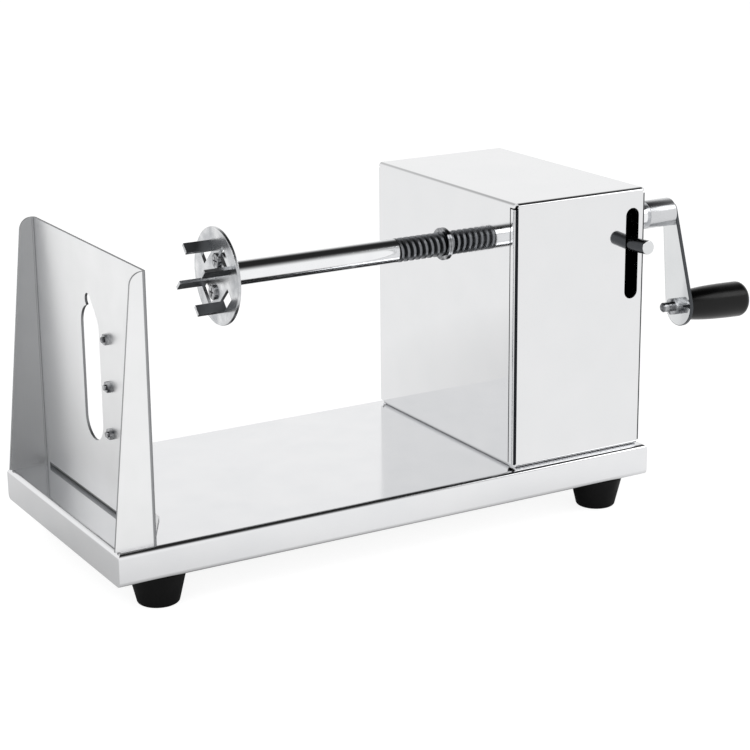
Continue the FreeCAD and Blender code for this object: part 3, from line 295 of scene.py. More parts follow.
def add_node(tree: Tree, kind: str, inputs: dict | None = None, **settings: object) -> Node:
    """Adds a node, sets its properties and fills or links its inputs.

    Args:
        tree: the material's or world's nodes.
        kind: the node's type name.
        inputs: input name or number to a value, or to the socket that feeds it.
        settings: the node's own properties.

    Returns:
        The node.
    """
    made = tree.nodes.new(kind)
    for key, value in settings.items():
        setattr(made, key, value)
    for key, value in (inputs or {}).items():
        if isinstance(value, Socket):
            tree.links.new(value, made.inputs[key])
        else:
            made.inputs[key].default_value = value
    return made


def empty_tree(owner: Material | bpy.types.World) -> Tree:
    """Turns on the nodes of a material or world and clears them."""
    owner.use_nodes = True
    owner.node_tree.nodes.clear()
    return owner.node_tree


def number(tree: Tree, operation: str, *values: float | Socket) -> Socket:
    """The result of an operation on numbers."""
    return add_node(tree, "ShaderNodeMath", dict(enumerate(values)), operation=operation).outputs[0]


def vector(tree: Tree, operation: str, *values: Sequence[float] | Socket) -> Node:
    """The node of an operation on vectors."""
    return add_node(tree, "ShaderNodeVectorMath", dict(enumerate(values)), operation=operation)


def noise(tree: Tree, place: Socket, per_mm: float, stretch: Sequence[float] = (1, 1, 1),
          detail: float = 2.0) -> Socket:
    """Noise with features of 1 / per_mm millimetres, drawn out where stretch is under 1."""
    scaled = add_node(tree, "ShaderNodeMapping", {"Vector": place, "Scale": tuple(stretch)})
    feeds = {"Vector": scaled.outputs[0], "Scale": per_mm / MM, "Detail": detail}
    return add_node(tree, "ShaderNodeTexNoise", feeds).outputs["Fac"]


def spread(tree: Tree, value: Socket, low: float | Socket, high: float, start: float = 0.3,
           end: float = 0.7, **settings: object) -> Socket:
    """Maps value from start..end to low..high."""
    feeds = {"Value": value, "From Min": start, "From Max": end, "To Min": low, "To Max": high}
    return add_node(tree, "ShaderNodeMapRange", feeds, **settings).outputs["Result"]


def blend(tree: Tree, share: Socket, first: str | Socket, second: str | Socket) -> Socket:
    """Mixes from a first colour to a second by share; each is a hex colour or a socket."""
    low, high = (linear(c) if isinstance(c, str) else c for c in (first, second))
    feeds = {"Factor": share, MIX_FIRST: low, MIX_SECOND: high}
    return add_node(tree, "ShaderNodeMix", feeds, data_type="RGBA").outputs[MIX_RESULT]


def bump(tree: Tree, height: Socket, depth: float, below: Socket | None = None) -> Socket:
    """Bump of a depth in millimetres, laid over another bump where one is given."""
    feeds = {"Height": height, "Distance": depth * MM, "Strength": 1.0}
    if below is not None:
        feeds["Normal"] = below
    return add_node(tree, "ShaderNodeBump", feeds).outputs["Normal"]


class Finish:
    """Base of every finish: opens a node material and links its patterns to the shader."""

    name: str

    def open(self) -> tuple[Material, Tree, Node, Socket]:
        """Starts the material.

        Returns:
            The material, its nodes, the shader and the object coordinates.
        """
        made = bpy.data.materials.new(self.name)
        tree = empty_tree(made)
        shader = add_node(tree, "ShaderNodeBsdfPrincipled")
        add_node(tree, "ShaderNodeOutputMaterial", {"Surface": shader.outputs["BSDF"]})
        place = add_node(tree, "ShaderNodeTexCoord")
        return made, tree, shader, place.outputs["Object"]

    @staticmethod
    def feed(tree: Tree, shader: Node, colour: Socket, rough: Socket, normal: Socket) -> None:
        """Links the three patterns that every finish has."""
        tree.links.new(colour, shader.inputs["Base Color"])
        tree.links.new(rough, shader.inputs["Roughness"])
        tree.links.new(normal, shader.inputs["Normal"])


@dataclass(frozen=True)
class Metal(Finish):
    """Bare or plated metal: tint, grain lines of its process and a slow wave of the sheet.

    A dull_and_shade colour darkens and roughens the faces that the "dull_and_shade" attribute
    marks.  On cut edges it is partly their duller sheared metal and partly painted shade; on bends,
    inner sides and prongs it is painted shade and painted reflection.
    """

    name: str
    tint: str = "#e4e5e6"
    second: str = "#d9dbdd"
    rough: float = 0.10
    rough_high: float = 0.16
    line_axis: Axis = Axis.X
    line_per_mm: float = 4.0
    line_depth: float = 0.0004
    wave_mm: float = 60.0
    wave_depth: float = 0.02
    patch_mm: float = 22.0
    patch_soft: float = 0.5
    dull_and_shade: str = ""
    marked_rough: float = 0.18

    def build(self) -> Material:
        """Makes the metal: drawn-out noise gives grain, slow noise bends the reflections.

        Returns:
            The material.
        """
        made, tree, shader, place = self.open()
        along = [1.0, 1.0, 1.0]
        along[self.line_axis.value] = DRAWN_OUT
        grain = noise(tree, place, self.line_per_mm, along, LINE_DETAIL)
        clouds = noise(tree, place, 1 / self.patch_mm)
        wave = noise(tree, place, 1 / self.wave_mm, detail=0.0)
        slow = bump(tree, wave, self.wave_depth)
        fine = bump(tree, grain, self.line_depth, slow)
        worn = number(tree, "MULTIPLY", grain, clouds)
        patches = spread(tree, clouds, 0.0, 1.0, 0.5 - self.patch_soft, 0.5 + self.patch_soft)
        colour = blend(tree, patches, self.tint, self.second)
        rough = spread(tree, worn, self.rough, self.rough_high, *WORN)
        if self.dull_and_shade:
            # marked faces get the dull_and_shade colour: partly duller metal, partly painted shade
            # and painted reflection
            mark = add_node(tree, "ShaderNodeAttribute", attribute_name="dull_and_shade").outputs["Fac"]
            colour = blend(tree, mark, colour, self.dull_and_shade)
            rough = number(tree, "MULTIPLY_ADD", mark, self.marked_rough, rough)
        self.feed(tree, shader, colour, rough, fine)
        shader.inputs["Metallic"].default_value = 1.0
        return made


@dataclass(frozen=True)
class TurnedMetal(Finish):
    """Metal finished on a lathe about the spindle, so its lines run round it."""

    name: str
    tint: str = "#f6f7f8"
    second: str = "#ecedef"
    crest: str = "#8f9194"
    groove: str = "#55575a"
    rough: float = 0.06
    rough_high: float = 0.12
    rough_thread: float = 0.34
    root_r: float = 4.75
    crest_r: float = 6.85
    thread_middle: float = 297.5
    thread_half: float = 86.1
    line_per_mm: float = 3.0
    line_depth: float = 0.0004
    patch_mm: float = 15.0

    def build(self) -> Material:
        """Makes the bar: within the thread, distance from the axis leads from root to crest, so the
        roots get painted shade.

        Returns:
            The material.
        """
        made, tree, shader, place = self.open()
        middle = (ORIGIN.x + self.thread_middle * MM, ORIGIN.y, AXIS * MM)
        away = vector(tree, "SUBTRACT", place, middle).outputs[0]
        across = vector(tree, "MULTIPLY", away, (0.0, 1.0, 1.0)).outputs[0]
        radius = vector(tree, "LENGTH", across).outputs["Value"]
        along = add_node(tree, "ShaderNodeSeparateXYZ", {"Vector": away}).outputs["X"]
        inside = number(tree, "COMPARE", along, 0.0, self.thread_half * MM)
        high = spread(tree, radius, 0.0, 1.0, self.root_r * MM, self.crest_r * MM)
        rings = noise(tree, place, self.line_per_mm, (1, DRAWN_OUT, DRAWN_OUT), LINE_DETAIL)
        clouds = noise(tree, place, 1 / self.patch_mm)
        worn = number(tree, "MULTIPLY", rings, clouds)
        rough = spread(tree, worn, self.rough, self.rough_high, *WORN)
        # painted shade: the colour darkens from crest to groove, towards the thread's roots
        thread = blend(tree, high, self.groove, self.crest)
        colour = blend(tree, inside, blend(tree, clouds, self.tint, self.second), thread)
        dull = number(tree, "MULTIPLY_ADD", inside, self.rough_thread, rough)
        self.feed(tree, shader, colour, dull, bump(tree, rings, self.line_depth))
        shader.inputs["Metallic"].default_value = 1.0
        return made


@dataclass(frozen=True)
class Moulded(Finish):
    """Moulded rubber or plastic: a dark body with the mould's skin and a gloss of its own."""

    name: str
    tint: str
    second: str
    rough: float
    rough_high: float
    grain_mm: float = 0.5
    grain_depth: float = 0.02
    patch_mm: float = 9.0
    gloss: float = 0.15

    def build(self) -> Material:
        """Makes the moulding: grain for the mould's skin, clouds for handling marks and dust.

        Returns:
            The material.
        """
        made, tree, shader, place = self.open()
        grain = noise(tree, place, 1 / self.grain_mm)
        clouds = noise(tree, place, 1 / self.patch_mm)
        colour = blend(tree, clouds, self.tint, self.second)
        rough = spread(tree, clouds, self.rough, self.rough_high)
        self.feed(tree, shader, colour, rough, bump(tree, grain, self.grain_depth))
        shader.inputs["Specular IOR Level"].default_value = self.gloss
        return made


class Finishes:
    """Every finish on the cutter, made once."""

    def __init__(self) -> None:
        """Builds the materials."""
        # buffed sheet: nearly a mirror, in which the eye sees the room and its neighbours; its
        # upright bends get a darker grey, a painted reflection of the dim room
        self.buffed = Metal("buffed_stainless", tint="#e9e9ea", second="#e4e5e6", rough=0.04,
                            rough_high=0.08, dull_and_shade="#232528").build()
        # sheet polished along its length on a belt: softer images, with fine lines along the base
        self.belted = Metal("belt_polished_stainless", tint="#ececed", second="#e5e6e8", rough=0.08,
                            rough_high=0.13, line_depth=0.0005).build()
        # finely brushed plate: a light grey mirror with a haze; its cut edges turn darker, partly
        # as duller sheared metal and partly as painted shade, and its gussets' inner sides get
        # painted shade
        self.brushed = Metal("brushed_stainless", tint="#f4f4f5", second="#eceded", rough=0.32,
                             rough_high=0.4, line_axis=Axis.Z, line_per_mm=3.0,
                             line_depth=0.0006, dull_and_shade="#717376").build()
        # ground and chromed bar: dark-edged highlights round it, and a dull, dark thread with
        # painted shade in its roots
        self.chromed = TurnedMetal("chromed_bar").build()
        # laser-cut stainless strip: bright but uneven, with lines of the rolling; its marked faces
        # turn
        # dark grey: the arm's cut sides, partly duller sheared metal and partly painted shade, and
        # the pin's round sides
        self.strip = Metal("rolled_stainless_strip", tint="#e3e4e5", second="#d8dadb", rough=0.06,
                           rough_high=0.12, wave_mm=30.0, wave_depth=0.01, dull_and_shade="#4c4e51").build()
        # stamped disc, tumbled after its prongs were folded: blurred images with darker smudges;
        # the prongs' faces get a darker grey, a painted reflection of the dim ceiling
        self.tumbled = Metal("tumbled_stainless", tint="#e6e7e8", second="#b4b6b9", rough=0.2,
                             rough_high=0.32, patch_mm=9.0, patch_soft=0.22,
                             dull_and_shade="#5a5c5f").build()
        # turned sleeve, left satin by the lathe: one broad soft highlight along it
        self.satin = Metal("satin_turned_steel", tint="#d6d7d9", second="#cbccce", rough=0.2,
                           rough_high=0.28, line_per_mm=4.0, line_depth=0.0006).build()
        # zinc-bright screws and nuts: hard glints, broken up by random near-black patches that are
        # painted dark reflections
        self.bright_screw = Metal("bright_screw_steel", tint="#c2c3c5", second="#3a3c40",
                                  rough=0.08, rough_high=0.16, line_per_mm=8.0, wave_mm=4.0,
                                  wave_depth=0.01, patch_mm=4.0, patch_soft=0.2).build()
        # hardened blade, ground across its edge
        self.ground = Metal("ground_blade_steel", tint="#d4d7da", second="#c3c7cb", rough=0.14,
                            rough_high=0.28, line_axis=Axis.Y, line_per_mm=7.0,
                            line_depth=0.001).build()
        # oiled spring wire: a grey, tight highlight along every coil
        self.wire = Metal("oiled_spring_wire", tint="#a3a7ab", second="#8c9095", rough=0.2,
                          rough_high=0.32, line_per_mm=6.0, wave_mm=3.0, wave_depth=0.004).build()
        # machined bronze: a warm yellow-brown with tool lines
        self.bronze = Metal("machined_bronze", tint="#b98d4f", second="#a57a40", rough=0.24,
                            rough_high=0.38, line_per_mm=5.0, line_depth=0.0015).build()
        # rubber: flat black that greys a little where it faces the light
        self.rubber = Moulded("black_rubber", tint="#0a0a0a", second="#0f0f10", rough=0.5,
                              rough_high=0.68, grain_mm=0.35, grain_depth=0.03,
                              gloss=0.14).build()
        # polished plastic: deep black under one clean highlight
        self.plastic = Moulded("glossy_black_plastic", tint="#030303", second="#050506",
                               rough=0.2, rough_high=0.27, grain_mm=1.4, grain_depth=0.004,
                               gloss=0.25).build()


# ---------------------------------------------------------------- sub-assemblies
class Assembly:
    """Base of the sub-assemblies: dresses CAD nodes and books new pieces on their bodies."""

    body = "frame"

    def dress(self, finish: Material, *nodes: str) -> None:
        """Gives CAD nodes a finish."""
        for node in nodes:
            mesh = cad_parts[node].data
            mesh.materials.clear()
            mesh.materials.append(finish)
            LOG.info("%s keeps its shape, %s", node, finish.name)

    def place(self, piece: Piece, finish: Material, slot: str, *nodes: str) -> None:
        """Books a new piece: its finish, its body and the CAD nodes it stands for."""
        piece.data.materials.clear()
        piece.data.materials.append(finish)
        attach(piece, self.body)
        if nodes:
            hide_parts(*nodes)
        LOG.info("%s: %d faces, %s", piece.name, len(piece.data.polygons), finish.name)

    def refined(self, node: str, name: str, edge: float = 0.0) -> Piece:
        """A welded copy of a CAD node with smooth bends and flat flats.

        Args:
            node: the CAD node.
            name: the copy's name.
            edge: width of the softened edge in millimetres; 0 leaves edges sharp.

        Returns:
            The copy.
        """
        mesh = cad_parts[node].data.copy()
        mesh.name = name
        made = bmesh.new()
        made.from_mesh(mesh)
        bmesh.ops.remove_doubles(made, verts=made.verts, dist=CAD_WELD * MM)
        bmesh.ops.dissolve_limit(made, angle_limit=math.radians(FLAT_WITHIN), verts=made.verts,
                                 edges=made.edges)
        made.to_mesh(mesh)
        made.free()
        piece = new_object(name, mesh)
        return soften(piece, edge) if edge > 0 else weigh_normals(shade(piece))


def read(items: bpy.types.bpy_prop_collection, key: str, kind: type = float,
         size: int = 1) -> np.ndarray:
    """One property of every item, with size numbers in each row."""
    values = np.empty(len(items) * size, kind)
    items.foreach_get(key, values)
    return values.reshape(-1, size) if size > 1 else values


@dataclass
class FaceTable:
    """Width, middle and normal of every face of a piece, in millimetres from the datum."""

    piece: Piece
    width: np.ndarray
    middle: np.ndarray
    normal: np.ndarray
    corners: np.ndarray

    @classmethod
    def of(cls, piece: Piece) -> "FaceTable":
        """Reads the table; a face's width is twice its area over its outline's length.

        Returns:
            The table.
        """
        mesh = piece.data
        start = read(mesh.polygons, "loop_start", np.int64)
        total = read(mesh.polygons, "loop_total", np.int64)
        corner = read(mesh.loops, "vertex_index", np.int64)
        points = read(mesh.vertices, "co", size=3)
        after = np.arange(len(corner)) + 1
        after[start + total - 1] = start
        sides = np.linalg.norm(points[corner[after]] - points[corner], axis=1)
        width = 2 * read(mesh.polygons, "area") / np.add.reduceat(sides, start) / MM
        middle = (read(mesh.polygons, "center", size=3) - np.array(ORIGIN)) / MM
        return cls(piece, width, middle, read(mesh.polygons, "normal", size=3), total)

    def mark(self, share: np.ndarray) -> None:
        """Writes a share for each face in the "dull_and_shade" attribute of its corners: how much
        it is painted darker.
        """
        made = self.piece.data.attributes.new("dull_and_shade", "FLOAT", "CORNER")
        made.data.foreach_set("value", np.repeat(share, self.corners).astype(np.float32))


@dataclass
class BaseTray(Assembly):
    """Folded base on four tapered rubber feet."""

    finishes: Finishes
    length: float = 336.0
    left_in: float = 28.5
    right_in: float = 24.5
    inset_y: float = 17.0
    foot_high: float = 18.5
    foot_top_r: float = 15.6
    foot_low_r: float = 11.2
    foot_hole_r: float = 5.8
    foot_hole_high: float = 13.5
    shank_r: float = 2.1
    recess_round: float = 0.4
    mouth_round: float = 0.6
    low_round: float = 1.6
    top_round: float = 0.8

    def foot(self, name: str, x: float, y: float) -> Piece:
        """One foot: profile (z, r) with rounded corners, turned about its upright axis.

        Returns:
            The foot.
        """
        profile = rounded([(self.foot_hole_high, self.shank_r, 0),
                           (self.foot_hole_high, self.foot_hole_r, self.recess_round),
                           (0.0, self.foot_hole_r, self.mouth_round),
                           (0.0, self.foot_low_r, self.low_round),
                           (self.foot_high, self.foot_top_r, self.top_round),
                           (self.foot_high, self.shank_r, 0)])
        ring = np.concatenate([profile, profile[:1]])
        return shade(turned(name, ring, (x, y, 0.0), Axis.Z).build())

    def build(self) -> None:
        """Makes the tray and feet and dresses the foot screws."""
        tray = self.refined("base_pan", "base_tray")
        self.place(tray, self.finishes.belted, "polished_stainless", "base_pan")
        for side, x in (("left", self.left_in), ("right", self.length - self.right_in)):
            for way, y in (("front", -1), ("back", 1)):
                foot = self.foot(f"rubber_foot_{way}_{side}", x, y * (HALF_BASE - self.inset_y))
                self.place(foot, self.finishes.rubber, "black_rubber", f"foot_{way}_{side}")
        self.dress(self.finishes.bright_screw, "foot_screws", "foot_washers", "foot_nuts")


@dataclass
class SlicingPlate(Assembly):
    """End plate with its window and the screwed slicing blade."""

    finishes: Finishes
    sheet: float = 1.6
    inner_shade: float = 0.6
    cut: float = 0.75
    flat: float = 0.9999
    facing: float = 0.99

    def build(self) -> None:
        """Smooths the folded plate; darkens its cut edges, partly as duller metal and partly as
        painted shade, and its gussets' inner sides as painted shade.

        A face counts as the flat panel from a normal of flat on, which leaves the bend line out.
        """
        plate = self.refined("blade_plate", "folded_end_plate")
        faces = FaceTable.of(plate)
        across, sideways, _ = faces.normal.T
        x, y, _ = faces.middle.T
        panel = (np.abs(across) > self.flat) & (x < x.min() + self.sheet)
        within = sideways * np.sign(y) < -self.facing
        edges = (faces.width < self.sheet) & ~panel
        # cut edges: partly duller sheared metal, partly painted shade; gussets' inner sides:
        # painted shade
        faces.mark(np.maximum(self.cut * edges, self.inner_shade * within))
        self.place(plate, self.finishes.brushed, "brushed_stainless", "blade_plate")
        self.dress(self.finishes.ground, "blade")
        self.dress(self.finishes.bright_screw, "blade_screws", "blade_nuts", "plate_screws",
                   "plate_nuts")


@dataclass
class Housing(Assembly):
    """Folded housing over the screw, with its guide bushes."""

    finishes: Finishes
    edge: float = 0.35
    upright: float = 0.2
    bent: float = 0.1

    def build(self) -> None:
        """Smooths the housing, darkens its upright bends' outer halves as painted reflection and
        dresses the rest.
        """
        cover = self.refined("housing_cover", "folded_housing", self.edge)
        faces = FaceTable.of(cover)
        along, across, up = np.abs(faces.normal).T
        bend = (faces.width > self.edge) & (up < self.upright)
        # painted reflection: the outer halves of upright bends take the dark grey that a dim room
        # would show in them
        faces.mark(bend & (along > self.bent) & (across >= along))
        self.place(cover, self.finishes.buffed, "polished_stainless", "housing_cover")
        self.dress(self.finishes.bright_screw, "cover_screws", "cover_nuts", "right_bush",
                   "right_bush_ring", "left_bush", "left_bush_ring")


@dataclass
class Spindle(Assembly):
    """Lead screw bar with the pronged fork on one end and the crank's sleeve on the other."""

    finishes: Finishes
    start: float = 100.0
    thread_start: float = 211.5
    turns: int = 43
    pitch: float = 4.0
    depth: float = 2.25
    crest: float = 1.46
    root: float = 1.33
    radius: float = BAR_R
    end: float = BAR_END
    spigot_end: float = 411.9
    spigot_r: float = 3.5
    edge: float = 0.7
    edge_points: int = 6
    around: int = 44
    inset: float = 1e-3
    crease: float = 38.0
    disc_face: float = 98.0
    prong_clear: float = 0.6
    prong_dark: float = 0.9
    prong_edge: float = 2.5
    sleeve_start: float = 389.5
    sleeve_r: float = 8.7
    sleeve_round: float = 0.2
    sleeve_points: int = 96
    body = "spindle"

    def radius_at(self, x: np.ndarray, angle: np.ndarray) -> np.ndarray:
        """Radius of the bar's surface.

        With s the distance along the axis from the nearest crest's middle, less the helix's
        advance p * angle / 2 pi, r = R - depth * clamp((|s| - crest / 2) / flank, 0, 1).

        Returns:
            The radius, in millimetres.
        """
        lead = (x - self.thread_start) / self.pitch - angle / TAU
        s = np.abs(lead - np.round(lead)) * self.pitch
        flank = (self.pitch - self.crest - self.root) / 2
        thread = self.radius - self.depth * np.clip((s - self.crest / 2) / flank, 0, 1)
        stop = self.thread_start + self.turns * self.pitch
        inside = (x > self.thread_start) & (x < stop)
        return np.where(inside, thread, self.radius)

    def bar(self) -> Piece:
        """The bar: a grid of rows along x and columns round it.

        One column's turn advances the thread by just one row, so the triangles' long sides
        follow the helix.  The thread's first and last row stand an inset inside its ends.

        Returns:
            The bar.
        """
        step = self.pitch / self.around
        rows = self.turns * self.around
        x = self.thread_start + step * np.arange(rows + 1)
        x[0] += self.inset
        x[-1] -= self.inset
        stop = self.thread_start + self.turns * self.pitch
        ahead = [self.start, self.thread_start]
        t = np.linspace(0, math.pi / 2, self.edge_points)
        rim_x = self.end - self.edge * (1 - np.sin(t))
        rim_r = self.radius - self.edge * (1 - np.cos(t))
        behind = np.concatenate([[stop], rim_x, [self.end, self.spigot_end]])
        rim_r = np.concatenate([[self.radius], rim_r, [self.spigot_r, self.spigot_r]])
        x = np.concatenate([ahead, x, behind])
        angle = np.linspace(0, TAU, self.around + 1)
        grid_x, grid_a = np.meshgrid(x, angle, indexing="ij")
        r = self.radius_at(grid_x, grid_a)
        r[-len(rim_r):] = rim_r[:, None]
        points = np.stack([grid_x, r * np.cos(grid_a), AXIS + r * np.sin(grid_a)], axis=-1)
        quads = np.array(grid_faces(*points.shape[:2]))
        halves = np.concatenate([quads[:, [0, 1, 2]], quads[:, [0, 2, 3]]])
        made = Builder("lead_screw_bar").add(points, [tuple(t) for t in halves.tolist()])
        rim = np.arange(self.around)
        last = (len(x) - 1) * (self.around + 1)
        made.faces += [tuple(rim.tolist()), tuple((last + rim).tolist())]
        return shade(made.build(), self.crease)

    def sleeve(self) -> Piece:
        """The sleeve at the crank: a ring (x, r) with rounded outer edges, turned about the axis.

        Returns:
            The sleeve.
        """
        ring = rounded([(self.end, self.radius, 0), (self.sleeve_start, self.radius, 0),
                        (self.sleeve_start, self.sleeve_r, self.sleeve_round),
                        (self.end, self.sleeve_r, self.edge), (self.end, self.radius, 0)])
        tube = turned("crank_sleeve", ring, (0, 0, AXIS), Axis.X, self.sleeve_points)
        return shade(tube.build())

    def build(self) -> None:
        """Makes the bar and sleeve, marks the fork's prongs with painted reflection and dresses the
        hub and screws.
        """
        self.place(self.bar(), self.finishes.chromed, "bright_rod", "spindle_rod")
        fork = self.refined("fork_disc", "pronged_fork")
        faces = FaceTable.of(fork)
        # painted reflection: the prongs' broad faces take a darker grey, as the dim ceiling would
        # show in them
        ahead = faces.middle[:, 0] < self.disc_face - self.prong_clear
        faces.mark(self.prong_dark * (ahead & (faces.width > self.prong_edge)))
        self.place(fork, self.finishes.tumbled, "polished_stainless", "fork_disc")
        self.dress(self.finishes.strip, "fork_hub")
        self.place(self.sleeve(), self.finishes.satin, "bright_rod", "crank_boss")
        self.dress(self.finishes.bright_screw, "fork_screws")


@dataclass
class CrankPose:
    """The crank's turn about the spindle and its lean towards the housing."""

    inner: float = BAR_END
    turn: float = 14.8
    lean: float = 2.3

    def matrix(self) -> np.ndarray:
        """Rotation that takes an arm hanging straight down to the crank's own pose."""
        lean = Matrix.Rotation(math.radians(self.lean), 3, "Y")
        turn = Matrix.Rotation(math.radians(-self.turn), 3, "X")
        return np.array(turn @ lean)

    def place(self, points: np.ndarray) -> np.ndarray:
        """Moves points drawn with the arm hanging straight down."""
        hub = np.array([self.inner, 0.0, AXIS])
        return (points - hub) @ self.matrix().T + hub


@dataclass
class Crank(Assembly):
    """Crank arm on the bar's end with its bolt, lock nut and washer."""

    finishes: Finishes
    sheet: float = 2.6
    edge: float = 0.45
    body = "spindle"

    def build(self) -> None:
        """Softens the arm's edges, darkens its cut sides, partly as duller metal and partly as
        painted shade, and dresses the fasteners.
        """
        arm = self.refined("crank_arm", "crank_arm_plate", self.edge)
        faces = FaceTable.of(arm)
        # cut sides: partly duller sheared metal, partly painted shade that draws dark outlines
        faces.mark(faces.width < self.sheet)
        self.place(arm, self.finishes.strip, "polished_stainless", "crank_arm")
        self.dress(self.finishes.bright_screw, "grip_bolt", "grip_nut", "grip_washer")


@dataclass
class Grip(Assembly):
    """Turned plastic grip that spins on its bolt, with a cap in its end."""

    finishes: Finishes
    pose: CrankPose
    arm: float = 2.5
    reach: float = 58.8
    washer: float = 1.2
    gap: float = 0.3
    length: float = 47.0
    neck_r: float = 8.8
    swell_r: float = 11.1
    cap_r: float = 7.2
    bore_r: float = 3.08
    seat_r: float = 6.3
    seat_deep: float = 12.0
    shelf: float = 6.0
    swell_at: tuple[float, ...] = (0.0, 8.0, 18.0, 30.0)
    swell_less: tuple[float, ...] = (1.1, 0.5, 0.05)
    swell_short: float = 5.5
    lip: float = 0.4
    shoulder_long: float = 4.1
    shoulder_in: float = 3.6
    dome: float = 1.4
    body_points: int = 40
    rim_points: int = 12
    rim_step: float = 0.1
    cap_gap: float = 0.12
    cap_step: float = 0.25
    body = "grip_body"

    @property
    def low(self) -> float:
        """Start of the grip along its bolt."""
        return self.pose.inner + self.arm + self.washer + self.gap

    @property
    def high(self) -> float:
        """End of the grip along its bolt."""
        return self.low + self.length

    def outline(self) -> np.ndarray:
        """Outer profile (x, r): a cubic swell through five stations, a shoulder and a dome.

        Returns:
            Rows from the neck to the dome's middle.
        """
        x0, x1, r = self.low, self.high, self.swell_r
        swell = x1 - self.swell_short
        knots = np.array([*self.swell_at, swell - x0])
        grow, near, nearly = self.swell_less
        radii = np.array([self.neck_r, self.neck_r + grow, r - near, r - nearly, r])
        at = np.linspace(x0 + self.lip, swell, self.body_points)
        body = np.stack([at, np.polyval(np.polyfit(knots, radii, 3), at - x0)], axis=1)
        t = np.linspace(0, math.pi / 2, self.rim_points)[1:]
        shoulder = np.stack([swell + self.shoulder_long * np.sin(t),
                             r - self.shoulder_in * (1 - np.cos(t))], axis=1)
        flat = r - self.shoulder_in
        rim = np.linspace(flat, 0, self.rim_points)[1:]
        dome = np.stack([x1 - self.dome * (rim / flat) ** 2, rim], axis=1)
        lip = np.array([[x0, self.neck_r - self.lip]])
        return np.concatenate([lip, body, shoulder, dome])

    def turn(self, name: str, profile: np.ndarray) -> Piece:
        """Turns a profile about the bolt and puts it in the crank's pose."""
        made = turned(name, profile, (0, 0, AXIS - self.reach), Axis.X)
        made.points = [self.pose.place(p) for p in made.points]
        return shade(made.build())

    def build(self) -> None:
        """Makes the grip's body and cap."""
        outer = self.outline()
        inside = outer[:, 1] > self.cap_r
        edge = outer[inside][-1, 0]
        floor, seat = self.high - self.shelf, self.high - self.seat_deep
        bore = np.array([[edge + self.rim_step, self.cap_r], [floor, self.cap_r],
                         [floor, self.seat_r], [seat, self.seat_r], [seat, self.bore_r],
                         [self.low, self.bore_r]])
        body = self.turn("moulded_grip", np.concatenate([outer[inside], bore, outer[:1]]))
        self.place(body, self.finishes.plastic, "black_plastic", "grip")
        lens = outer[~inside]
        seam = self.cap_r - self.cap_gap
        back = [[floor, 0.0], [floor, seam], [lens[0, 0] - self.cap_step, seam]]
        cap = self.turn("grip_end_cap", np.concatenate([back, lens]))
        self.place(cap, self.finishes.plastic, "black_plastic", "grip_cap")


@dataclass
class ReleaseLever(Assembly):
    """Sprung lever that holds the half nut up to the screw, with its front pin."""

    finishes: Finishes
    edge: float = 0.5
    facing: float = 0.5
    body = "lever"

    def build(self) -> None:
        """Dresses the lever, its nut, its pivot and its spring."""
        pin = self.refined("release_pin", "release_thumb_pin", self.edge)
        faces = FaceTable.of(pin)
        faces.mark(np.abs(faces.normal[:, 1]) < self.facing)
        self.place(pin, self.finishes.strip, "screw_steel", "release_pin")
        self.dress(self.finishes.strip, "lever_arm", "lever_bracket", "spring_hanger")
        self.dress(self.finishes.bronze, "half_nut")
        self.dress(self.finishes.wire, "return_spring")
        self.dress(self.finishes.bright_screw, "half_nut_screws", "bracket_screws",
                   "bracket_nuts", "pivot_bolt", "pivot_nut")


